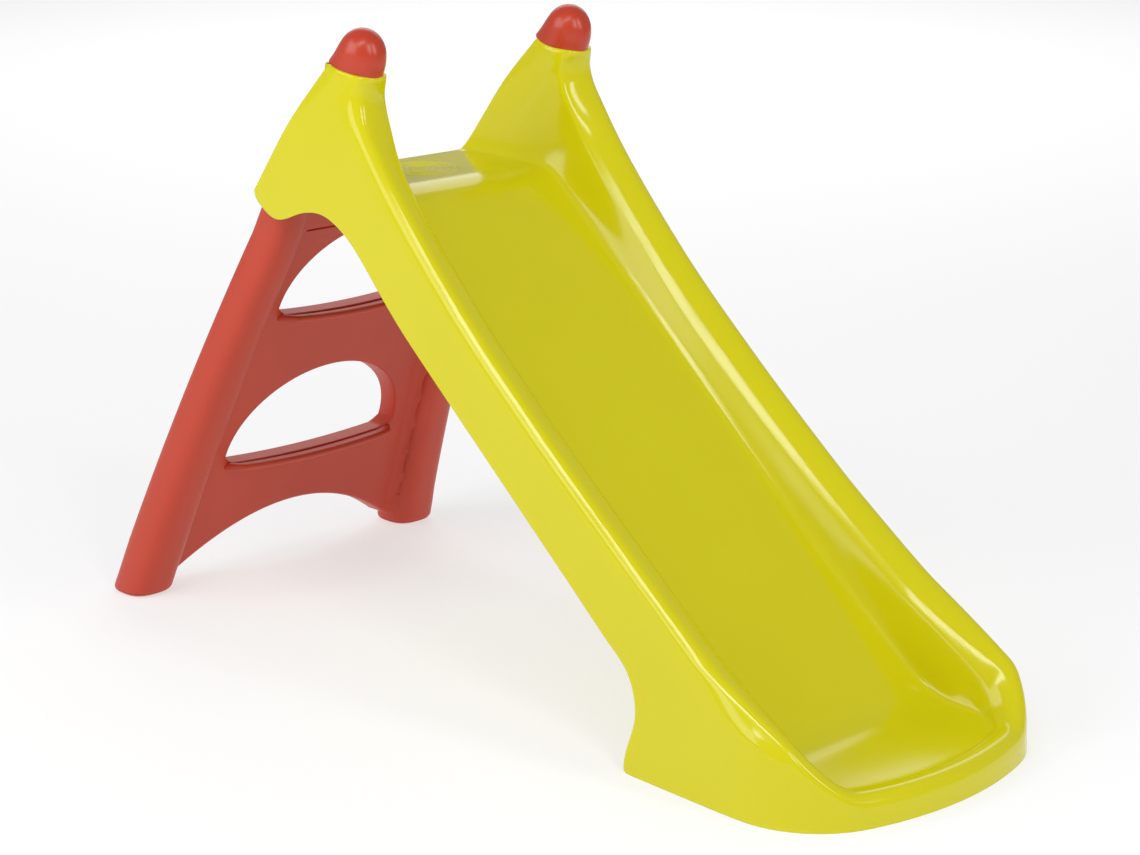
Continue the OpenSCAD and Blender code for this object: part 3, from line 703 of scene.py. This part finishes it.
ears = []
for side in (-1, 1):
    disc = [hinge_circle(side * x, EAR_RADIUS) for x in (EAR_INNER, EAR_OUTER)]
    ears.append(outward(loft("ear", disc, chute_plastic)))
    low, high = sorted((side * EAR_INNER, side * EAR_OUTER))
    ears.append(box_piece("ear", (low, hinge_y - EAR_RADIUS, hinge_z),
                          (high, hinge_y + EAR_RADIUS, EAR_TOP), chute_plastic))

chute = join("chute_moulding", skin, ribs, grips, *ears)
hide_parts("slide_chute")
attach(chute, "chute")


# ---- Grip knobs -------------------------------------------------------------------------------
# Hollow domes of coral polypropylene with an oval foot. They lean forwards on the horns' sloping
# tops, and are screwed on from inside.

# Coral polypropylene, with faint flow clouds and a fine even grain left by the tool
CORAL_LIGHT = "C33F24"
CORAL_DEEP = "B9371E"
TOOL_GRAIN = 1.6


def coral_plastic(name, smooth, rough, grain_strength):
    """The coral plastic, between two roughnesses, with the grain of its tool."""
    made, tree, output = new_material(name)
    clouds = object_noise(tree, 90, 2, 11.0)
    colour = node(tree, "ShaderNodeMix", {"data_type": "RGBA"},
                  {6: linear(CORAL_DEEP), 7: linear(CORAL_LIGHT)}, Factor=clouds.outputs["Fac"])
    haze = node(tree, "ShaderNodeMapRange", None, {"To Min": smooth, "To Max": rough},
                Value=clouds.outputs["Fac"])
    grain = node(tree, "ShaderNodeBump", None, {"Strength": grain_strength, "Distance": 0.15 * MM},
                 Height=object_noise(tree, TOOL_GRAIN, 3, 13.0).outputs["Fac"])
    shader = node(tree, "ShaderNodeBsdfPrincipled", None,
                  {"IOR": 1.49, "Specular IOR Level": 0.5, "Subsurface Weight": 0.08,
                   "Subsurface Scale": 3 * MM, "Subsurface Radius": (1.0, 0.25, 0.15)},
                  Base_Color=colour.outputs[2], Roughness=haze.outputs["Result"],
                  Normal=grain.outputs["Normal"])
    tree.links.new(shader.outputs[0], output.inputs["Surface"])
    return made


# The knobs come from a smooth tool, so they show small soft highlights
knob_plastic = coral_plastic("polypropylene_smooth_coral", 0.26, 0.32, 0.08)

KNOB_HALF_WIDTH = 26
KNOB_HALF_LENGTH = 35
BALL_HALF_WIDTH = 25
BALL_HALF_LENGTH = 28
BALL_HALF_HEIGHT = 27
BALL_UP = 17
BALL_FORWARD = 12
KNOB_SIDES = 64
KNOB_SUNK = 2
KNOB_RIM = 3


def touching(foot, toward):
    """Angle at which a line from the foot's edge touches the ball's outline, in side view."""
    a = BALL_HALF_HEIGHT * (foot + toward * BALL_FORWARD)
    b = BALL_UP * BALL_HALF_LENGTH
    opening_angle = math.acos(BALL_HALF_LENGTH * BALL_HALF_HEIGHT / math.hypot(a, b))
    return math.degrees(opening_angle - math.atan2(b, a))


def knob_edge(h, toward):
    """Distance of the knob's outline from its middle at height h, to the rear (1) or front (-1)."""
    angle = touching(KNOB_HALF_LENGTH, toward)
    y = BALL_HALF_LENGTH * cos(angle) - toward * BALL_FORWARD
    z = BALL_UP + BALL_HALF_HEIGHT * sin(angle)
    if h < z:
        return mix(KNOB_HALF_LENGTH, y, max(0, h) / z)
    across = max(0, 1 - ((h - BALL_UP) / BALL_HALF_HEIGHT) ** 2)
    return BALL_HALF_LENGTH * math.sqrt(across) - toward * BALL_FORWARD


def knob(name, node_name, side):
    """A knob from level rings: a flat foot let into the seat, a flared neck and the ball."""
    top = BALL_UP + BALL_HALF_HEIGHT
    heights = [-KNOB_SUNK, -KNOB_SUNK] + list(range(0, BALL_UP, 2))
    heights += [BALL_UP + BALL_HALF_HEIGHT * sin(a) for a in range(6, 90, 5)]
    points, polygons = [], []
    for i, h in enumerate(heights):
        rear, front = knob_edge(h, 1), knob_edge(h, -1)
        half, middle = (rear + front) / 2, (rear - front) / 2
        wide = mix(KNOB_HALF_WIDTH, BALL_HALF_WIDTH, min(1, max(0, h / BALL_UP)))
        wide *= math.sqrt(max(0, 1 - (max(0, h - BALL_UP) / BALL_HALF_HEIGHT) ** 2))
        if i == 0:
            half, wide = half - KNOB_RIM, wide - KNOB_RIM
        for k in range(KNOB_SIDES):
            y = middle + half * sin(360 * k / KNOB_SIDES)
            tilt = SEAT_TILT * (1 - max(0, h) / top)
            points.append(Vector((wide * cos(360 * k / KNOB_SIDES), y, h + tilt * y)))
    rows = len(heights)
    for i in range(rows - 1):
        for k in range(KNOB_SIDES):
            a, b = i * KNOB_SIDES + k, i * KNOB_SIDES + (k + 1) % KNOB_SIDES
            polygons.append((a, b, b + KNOB_SIDES, a + KNOB_SIDES))
    points.append(Vector((0, -BALL_FORWARD, top)))
    base = (rows - 1) * KNOB_SIDES
    polygons += [(base + k, base + (k + 1) % KNOB_SIDES, len(points) - 1) for k in range(KNOB_SIDES)]
    polygons.append(tuple(reversed(range(KNOB_SIDES))))
    points = [Vector((side * (SEAT_X + p.x), SEAT_Y + p.y, SEAT_Z + p.z)) for p in points]
    if side < 0:
        polygons = [tuple(reversed(f)) for f in polygons]
    piece = new_piece(name, points, polygons, knob_plastic)
    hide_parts(node_name)
    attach(piece, "chute")


knob("knob_left", "grip_knob_left", -1)
knob("knob_right", "grip_knob_right", 1)


# ---- Ladder posts -----------------------------------------------------------------------------
# Two broad hollow posts, part of one moulding with the web and the steps. Each is a rounded oblong
# swept down a shallow arc and splayed outwards, with a round head that turns inside the cheek.

# The ladder's tool was lightly textured, so its plastic is satin
ladder_plastic = coral_plastic("polypropylene_satin_coral", 0.4, 0.5, 0.22)

HINGE_LEAN = 29.5
FOOT_LEAN = 21.5
POST_TOP_WIDTH = 46
POST_FOOT_WIDTH = 64
POST_FOOT_DEPTH = 62
POST_SPLAY = 56
POST_OUTER = HALF_CHUTE - CHUTE_WALL - 2.5
POST_HEAD_DEPTH = 48
POST_NECK_DEPTH = 52
POST_NECK = 40
SPLAY_START = 60
POST_RADIUS = hinge_z / (sin(HINGE_LEAN) - sin(FOOT_LEAN))
POST_LENGTH = POST_RADIUS * math.radians(HINGE_LEAN - FOOT_LEAN)
SQUARENESS = 0.72
POST_SIDES = 56


def lean_at(s):
    """Lean of the post at distance s down it from the hinge."""
    return HINGE_LEAN - math.degrees(s / POST_RADIUS)


def post_y(s):
    return hinge_y + POST_RADIUS * (cos(lean_at(s)) - cos(HINGE_LEAN))


def post_z(s):
    return hinge_z - POST_RADIUS * (sin(HINGE_LEAN) - sin(lean_at(s)))


def post_share(s):
    """How far the post has splayed and widened at s."""
    return max(0, (s - SPLAY_START) / (POST_LENGTH - SPLAY_START))


def post_x(s):
    return POST_OUTER - POST_TOP_WIDTH / 2 + POST_SPLAY * post_share(s)


def post_wide(s):
    return mix(POST_TOP_WIDTH, POST_FOOT_WIDTH, post_share(s))


def post_deep(s):
    if s < 0:
        return POST_HEAD_DEPTH
    if s < POST_NECK:
        return mix(POST_HEAD_DEPTH, POST_NECK_DEPTH, s / POST_NECK)
    return mix(POST_NECK_DEPTH, POST_FOOT_DEPTH, (s - POST_NECK) / (POST_LENGTH - POST_NECK))


def side_point(s, back):
    """A point in the ladder's side view, as (y, z)."""
    return post_y(s) + back * cos(lean_at(s)), post_z(s) + back * sin(lean_at(s))


def rounded(c):
    """A sine or cosine made squarer, so that an oval becomes a rounded oblong."""
    return math.copysign(abs(c) ** SQUARENESS, c)


def post_ring(s, flatten=1.0):
    """The post's section at s, square to it."""
    ring = []
    for k in range(POST_SIDES):
        a = 360 * k / POST_SIDES
        y, z = side_point(s, post_deep(s) / 2 * rounded(sin(a)) * flatten)
        ring.append(Vector((post_x(s) + post_wide(s) / 2 * rounded(cos(a)), y, z)))
    return ring


def station_at(z):
    """Distance down the post at which its middle is at height z."""
    s = (hinge_z - z) / (hinge_z / POST_LENGTH)
    for _ in range(4):
        s += (post_z(s) - z) / cos(lean_at(s))
    return s


def level_ring(z, inset):
    """The post's section cut level at height z near the foot, shrunk by inset."""
    s = station_at(z)
    ring = []
    for k in range(POST_SIDES):
        a = 360 * k / POST_SIDES
        half = (post_deep(s) / 2 - inset) / cos(lean_at(s))
        ring.append(Vector((post_x(s) + (post_wide(s) / 2 - inset) * rounded(cos(a)),
                            post_y(s) + half * rounded(sin(a)), z)))
    return ring


FOOT_ROUND = 9
CAP_HEIGHT = 5


def foot_inset(z):
    """How far the foot's rounded edge draws in at height z."""
    if z >= FOOT_ROUND:
        return 0
    return FOOT_ROUND - math.sqrt(FOOT_ROUND ** 2 - (FOOT_ROUND - z) ** 2)


HEAD_STEPS = 8
BODY_STEPS = 44
BODY_RINGS = 40
LEVEL_FROM = 25.3


def post_rings():
    """Rings of the right-hand post: its round head, its body, and level rings at the foot."""
    head = [post_ring(-POST_HEAD_DEPTH / 2 * cos(90 * i / HEAD_STEPS),
                      max(0.02, sin(90 * i / HEAD_STEPS))) for i in range(HEAD_STEPS)]
    body = [post_ring(POST_LENGTH * i / BODY_STEPS) for i in range(BODY_RINGS)]
    tail = []
    flat = level_ring(LEVEL_FROM, 0)
    for t in (0.35, 0.7):
        tail.append([a.lerp(b, t) for a, b in zip(body[-1], flat)])
    tail.append(flat)
    for z in (17, 12, 9, 7.2, 6, CAP_HEIGHT + 0.5):
        tail.append(level_ring(z, foot_inset(z)))
    tail.append(level_ring(CAP_HEIGHT + 0.2, foot_inset(CAP_HEIGHT) + 0.5))
    return head + body + tail


posts = []
for side in (-1, 1):
    shape = [[Vector((side * p.x, p.y, p.z)) for p in r] for r in post_rings()]
    posts.append(outward(loft("post", shape, ladder_plastic)))


# ---- Ladder web -------------------------------------------------------------------------------
# The wall between the posts, open at the back: half-moon openings over the steps, an arch between
# the feet, rounded edges, upright ribs behind, and a shallow groove across its top.

WEB_FRONT = -5
WEB_BACK = 24
WEB_TOP = 22
WEB_WALL = 3.2
EDGE_ROUND = 3
LOWER_STEP = 155
UPPER_STEP = 357
LOWER_OPENING = (134, 105)
UPPER_OPENING = (119, 97)
STEP_BOW = 7
CORNER_LIFT = 15
ARCH_HEIGHT = 82
ARCH_HALF = 183
ARCH_FALL = 73
ARCH_LEDGE = 17
ARCH_STEPS = 24


def web_y(z, back):
    """Where the web's surface at this distance behind the posts' middle meets height z."""
    s = station_at(z)
    return post_y(s) + back / cos(lean_at(s))


def step_edge(opening, z, x):
    """Height of an opening's lower edge at x, which is the step's top: lowest in the middle."""
    return z + STEP_BOW * (x / opening[0]) ** 2


def opening_outline(opening, z):
    """A half-moon with rounded lower corners, counter-clockwise in (x, z)."""
    half, high = opening
    spring = z + CORNER_LIFT
    points = [(half * cos(a), spring + high * sin(a)) for a in range(0, 181, 4)]
    foot = []
    for i in range(0, 41):
        t = -1 + i / 20
        x = t * half
        level = step_edge(opening, z, x)
        lift = CORNER_LIFT * max(0, (abs(t) - 0.9) / 0.1) ** 2.2
        foot.append((x, min(level + lift, spring)))
    return points + foot[1:-1]


def arch_z(x):
    """Height of the arch between the feet."""
    return ARCH_HEIGHT - ARCH_FALL * (x / ARCH_HALF) ** 2


def web_outline():
    """The web's edge: inside the posts down both sides, and the arch with its ledges below."""
    side = [(post_x(station_at(z)), z) for z in (post_z(WEB_TOP), 400, 300, 200, 100, 40)]
    foot_x = post_x(POST_LENGTH) - 12
    arch = [ARCH_HALF * i / ARCH_STEPS for i in range(ARCH_STEPS, -ARCH_STEPS - 1, -1)]
    bottom = [(foot_x, ARCH_LEDGE)]
    bottom += [(x, max(ARCH_LEDGE, arch_z(x))) for x in arch]
    bottom += [(-foot_x, ARCH_LEDGE)]
    return side + bottom + [(-x, z) for x, z in reversed(side)]


def flat_shape(name, outlines, depth, rounding):
    """A plate from outlines in (x, z): front face and rounded walls, open at the back."""
    data = bpy.data.curves.new(name, "CURVE")
    data.dimensions = "2D"
    data.fill_mode = "FRONT"
    for outline in outlines:
        spline = data.splines.new("POLY")
        spline.points.add(len(outline) - 1)
        for p, (x, z) in zip(spline.points, outline):
            p.co = (x * MM, z * MM, 0, 1)
        spline.use_cyclic_u = True
    data.extrude = (depth / 2 - rounding) * MM
    data.bevel_depth = rounding * MM
    data.bevel_resolution = 3
    data.offset = -rounding * MM
    shape = bpy.data.objects.new(name, data)
    bpy.context.scene.collection.objects.link(shape)
    bpy.context.view_layer.update()
    mesh = bpy.data.meshes.new_from_object(shape.evaluated_get(bpy.context.evaluated_depsgraph_get()))
    bpy.data.objects.remove(shape)
    piece = bpy.data.objects.new(name, mesh)
    bpy.context.scene.collection.objects.link(piece)
    return piece


WEB_DEPTH = (WEB_BACK - WEB_FRONT) / cos((HINGE_LEAN + FOOT_LEAN) / 2)
web = flat_shape("web", [web_outline(), opening_outline(LOWER_OPENING, LOWER_STEP),
                         opening_outline(UPPER_OPENING, UPPER_STEP)], WEB_DEPTH, EDGE_ROUND)

# The flat plate is cut into strips, then bent to the posts' arc, with a fillet where it meets them
GROOVE_Z = 474
GROOVE_HALF = 1.6
GROOVE_DEPTH = 2.2
GROOVE_REACH = 116
POST_FILLET = 12
FACE_DEPTH = 1
work = bmesh.new()
work.from_mesh(web.data)
bmesh.ops.remove_doubles(work, verts=work.verts, dist=0.02 * MM)
cuts = [(0, z) for z in range(20, 506, 9)]
cuts += [(0, z) for z in (GROOVE_Z - GROOVE_HALF, GROOVE_Z, GROOVE_Z + GROOVE_HALF)]
cuts += [(side * x, 0) for x in range(104, 212, 4) for side in (-1, 1)]
for x, z in cuts:
    bmesh.ops.bisect_plane(work, geom=work.verts[:] + work.edges[:] + work.faces[:], dist=1e-6,
                           plane_co=(x * MM, z * MM, 0), plane_no=(0, 1, 0) if z else (1, 0, 0))
for v in work.verts:
    x, z, depth = v.co.x / MM, v.co.y / MM, v.co.z / MM
    s = station_at(z)
    back = WEB_FRONT / cos(lean_at(s)) + WEB_DEPTH / 2 - depth
    front_face = depth > WEB_DEPTH / 2 - FACE_DEPTH
    if front_face and abs(z - GROOVE_Z) < 0.1 and abs(x) < GROOVE_REACH:
        back += GROOVE_DEPTH
    edge = post_x(s) - post_wide(s) / 2 + 1.0
    into = min(POST_FILLET, max(0, abs(x) - (edge - POST_FILLET)))
    fillet = POST_FILLET - math.sqrt(max(0, POST_FILLET ** 2 - into ** 2))
    if depth > 0:
        back -= fillet
    v.co = Vector((x, post_y(s) + back, z)) * MM
work.to_mesh(web.data)
work.free()
outward(web)
web.data.materials.clear()
web.data.materials.append(ladder_plastic)
wall = web.modifiers.new("wall", "SOLIDIFY")
wall.thickness = WEB_WALL * MM
wall.offset = -1
apply_modifiers(web)


# Upright ribs in the web's hollow back
WEB_RIBS = (-124, -62, 0, 62, 124)


def in_opening(opening, z, x):
    """Heights between which an opening, with its wall, is open at x, or None."""
    half, high = opening[0] + WEB_WALL, opening[1] + WEB_WALL
    if abs(x) >= half:
        return None
    return step_edge(opening, z, x) - WEB_WALL, z + CORNER_LIFT + high * math.sqrt(1 - (x / half) ** 2)


def rib(x, low, high):
    """An upright rib at x, between two heights, that follows the web's bend."""
    steps = max(2, int((high - low) / 12))
    rings = []
    for i in range(steps + 1):
        z = mix(low, high, i / steps)
        front, back = web_y(z, WEB_FRONT + WEB_WALL * 0.6), web_y(z, WEB_BACK - 1)
        rings.append([Vector((x - WEB_WALL / 2, front, z)), Vector((x + WEB_WALL / 2, front, z)),
                      Vector((x + WEB_WALL / 2, back, z)), Vector((x - WEB_WALL / 2, back, z))])
    piece = outward(loft("rib", rings, ladder_plastic))
    piece.data.polygons.foreach_set("use_smooth", [False] * len(piece.data.polygons))
    return piece


web_ribs = []
for x in WEB_RIBS:
    levels = [arch_z(x) + 1]
    for opening, z in ((LOWER_OPENING, LOWER_STEP), (UPPER_OPENING, UPPER_STEP)):
        gap = in_opening(opening, z, x)
        if gap:
            levels += [gap[0], gap[1]]
    levels.append(post_z(WEB_TOP) - 1)
    web_ribs += [rib(x, levels[i], levels[i + 1]) for i in range(0, len(levels), 2)]


# ---- Ladder steps -----------------------------------------------------------------------------
# Each step is a shelf across its opening, bowed down a little in the middle, with a rounded nosing
# that stands out past the web. Its top falls a little towards the rear, so that water drains.

STEP_DEPTH = 44
NOSING = 4.3
SHELF = 7
TREAD_FALL = 7
STEP_END = 26
STEP_SLICES = 60


def ladder_step(opening, z):
    """A step from upright sections across the ladder, whose nosing draws in at both ends."""
    s = (hinge_z - z) / cos((HINGE_LEAN + FOOT_LEAN) / 2)
    rear = side_point(s, WEB_BACK)[0] - 1
    tip = rear - STEP_DEPTH
    face = web_y(z - 6, WEB_FRONT)
    rings = []
    reach = opening[0] + 1.5
    for i in range(STEP_SLICES + 1):
        x = -reach + 2 * reach * i / STEP_SLICES
        top = step_edge(opening, z, x)
        end = max(0, (abs(x) - (reach - STEP_END)) / STEP_END)
        nose = tip + (face - tip + 1.0) * end ** 2.4
        middle = nose + NOSING
        fall = TREAD_FALL * (1 - end)
        ring = [Vector((x, rear, top - fall)), Vector((x, mix(rear, middle, 0.4), top - 0.6 * fall)),
                Vector((x, mix(rear, middle, 0.8), top - 0.12 * fall))]
        ring += [Vector((x, middle - NOSING * cos(90 - a), top - NOSING + NOSING * sin(90 - a)))
                 for a in range(0, 181, 20)]
        ring += [Vector((x, face + 3, top - 2 * NOSING)), Vector((x, face + 4, top - SHELF - 1)),
                 Vector((x, rear, top - SHELF - 3))]
        rings.append(ring)
    return outward(loft("step", rings, ladder_plastic))


steps = [ladder_step(LOWER_OPENING, LOWER_STEP), ladder_step(UPPER_OPENING, UPPER_STEP)]

ladder = join("ladder_moulding", *posts, web, *web_ribs, *steps)
ladder.data.set_sharp_from_angle(angle=math.radians(38))
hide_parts("ladder_frame")
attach(ladder, "ladder")


# ---- Foot caps --------------------------------------------------------------------------------
# Plugs that close the hollow posts and stand on the floor, with the same rounded edge.

def foot_cap(name, node_name, side):
    """A cap from level rings: its flat sole, its rounded edge, and its top against the post."""
    heights = [0, 0.4, 1.1, 2, 3.2, 4.2, CAP_HEIGHT - 0.2]
    rings = [level_ring(0, FOOT_ROUND * t) for t in (2.2, 1.5, 1.1)]
    rings = [[Vector((p.x, p.y, 0)) for p in r] for r in rings]
    rings += [level_ring(z, foot_inset(z)) for z in heights]
    rings.append(level_ring(CAP_HEIGHT, foot_inset(CAP_HEIGHT) + 0.6))
    rings = [[Vector((side * p.x, p.y, p.z)) for p in r] for r in rings]
    piece = outward(loft(name, rings, ladder_plastic))
    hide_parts(node_name)
    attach(piece, "ladder")


foot_cap("foot_left", "foot_cap_left", -1)
foot_cap("foot_right", "foot_cap_right", 1)


# ---- Hinge and knob hardware ------------------------------------------------------------------
# Zinc-plated steel pins, clips, screws and washers, and moulded nylon spacers, hidden inside.

plated_steel, tree, output = new_material("steel_zinc_plated")
speckle = object_noise(tree, 1.5, 3, 17.0)
haze = node(tree, "ShaderNodeMapRange", None, {"To Min": 0.28, "To Max": 0.45},
            Value=speckle.outputs["Fac"])
colour = node(tree, "ShaderNodeMix", {"data_type": "RGBA"}, {6: linear("B4B6BA"), 7: linear("D4D5D6")},
              Factor=speckle.outputs["Fac"])
shader = node(tree, "ShaderNodeBsdfPrincipled", None, {"Metallic": 1.0},
              Base_Color=colour.outputs[2], Roughness=haze.outputs["Result"])
tree.links.new(shader.outputs[0], output.inputs["Surface"])

nylon, tree, output = new_material("nylon_natural_moulded")
speckle = object_noise(tree, 3, 2, 19.0)
colour = node(tree, "ShaderNodeMix", {"data_type": "RGBA"}, {6: linear("E6E4DA"), 7: linear("F0EFE8")},
              Factor=speckle.outputs["Fac"])
shader = node(tree, "ShaderNodeBsdfPrincipled", None, {"Roughness": 0.5, "Subsurface Weight": 0.2,
                                                       "Subsurface Scale": 2 * MM},
              Base_Color=colour.outputs[2])
tree.links.new(shader.outputs[0], output.inputs["Surface"])

for name, cad_node in frame["nodes"].items():
    if name.startswith(("hinge_pin", "hinge_clip", "knob_washer", "knob_screw")):
        cad_node.data.materials.clear()
        cad_node.data.materials.append(plated_steel)
    elif name.startswith("hinge_washer"):
        cad_node.data.materials.clear()
        cad_node.data.materials.append(nylon)


# ---- Floor and light --------------------------------------------------------------------------
# A white studio: paper that runs to white, a big soft light from the left, a broad one over the
# background, and three narrow ones that draw the thin highlights along the rails and the horns.

FLOOR_HALF = 9000
studio_white, tree, output = new_material("studio_paper")
shader = node(tree, "ShaderNodeBsdfPrincipled", None,
              {"Base Color": (0.45, 0.45, 0.46, 1), "Roughness": 0.9, "Specular IOR Level": 0.0,
               "Emission Color": (1, 1, 1, 1), "Emission Strength": 0.57})
tree.links.new(shader.outputs[0], output.inputs["Surface"])
paper = [Vector((x * FLOOR_HALF, y * FLOOR_HALF, 0)) for x, y in ((-1, -1), (1, -1), (1, 1), (-1, 1))]
floor = new_piece("floor", paper, [(0, 1, 2, 3)], studio_white)

world = bpy.data.worlds.new("studio")
world.use_nodes = True
world.node_tree.nodes["Background"].inputs["Color"].default_value = (1, 1, 1, 1)
world.node_tree.nodes["Background"].inputs["Strength"].default_value = 0.32
bpy.context.scene.world = world


def area_light(name, place, aim, width, height, power, roll=0.0):
    """A rectangular light in metres and watts that faces its aim."""
    data = bpy.data.lights.new(name, "AREA")
    data.shape = "RECTANGLE"
    data.size = width
    data.size_y = height
    data.energy = power
    light = bpy.data.objects.new(name, data)
    light.location = place
    light.rotation_mode = "QUATERNION"
    turn = Quaternion((0, 0, 1), math.radians(roll))
    light.rotation_quaternion = (Vector(aim) - Vector(place)).to_track_quat("-Z", "Y") @ turn
    bpy.context.scene.collection.objects.link(light)


MIDDLE = (0, 0, 0.3)
area_light("softbox_left", (-2.85, 1.1, 1.76), MIDDLE, 2.4, 2.2, 48)
area_light("strip_crest", (-1.92, -0.73, 2.87), MIDDLE, 2.0, 0.3, 19, roll=41)
area_light("strip_front", (-0.9, -2.25, 2.05), MIDDLE, 0.45, 1.5, 17)
area_light("strip_right", (0.45, -2.45, 1.95), MIDDLE, 0.45, 1.5, 17)
area_light("backdrop", (3.4, 3.5, 2.6), (3.4, 3.5, 0), 4.6, 4.6, 95)

bpy.context.scene.view_settings.view_transform = "Standard"
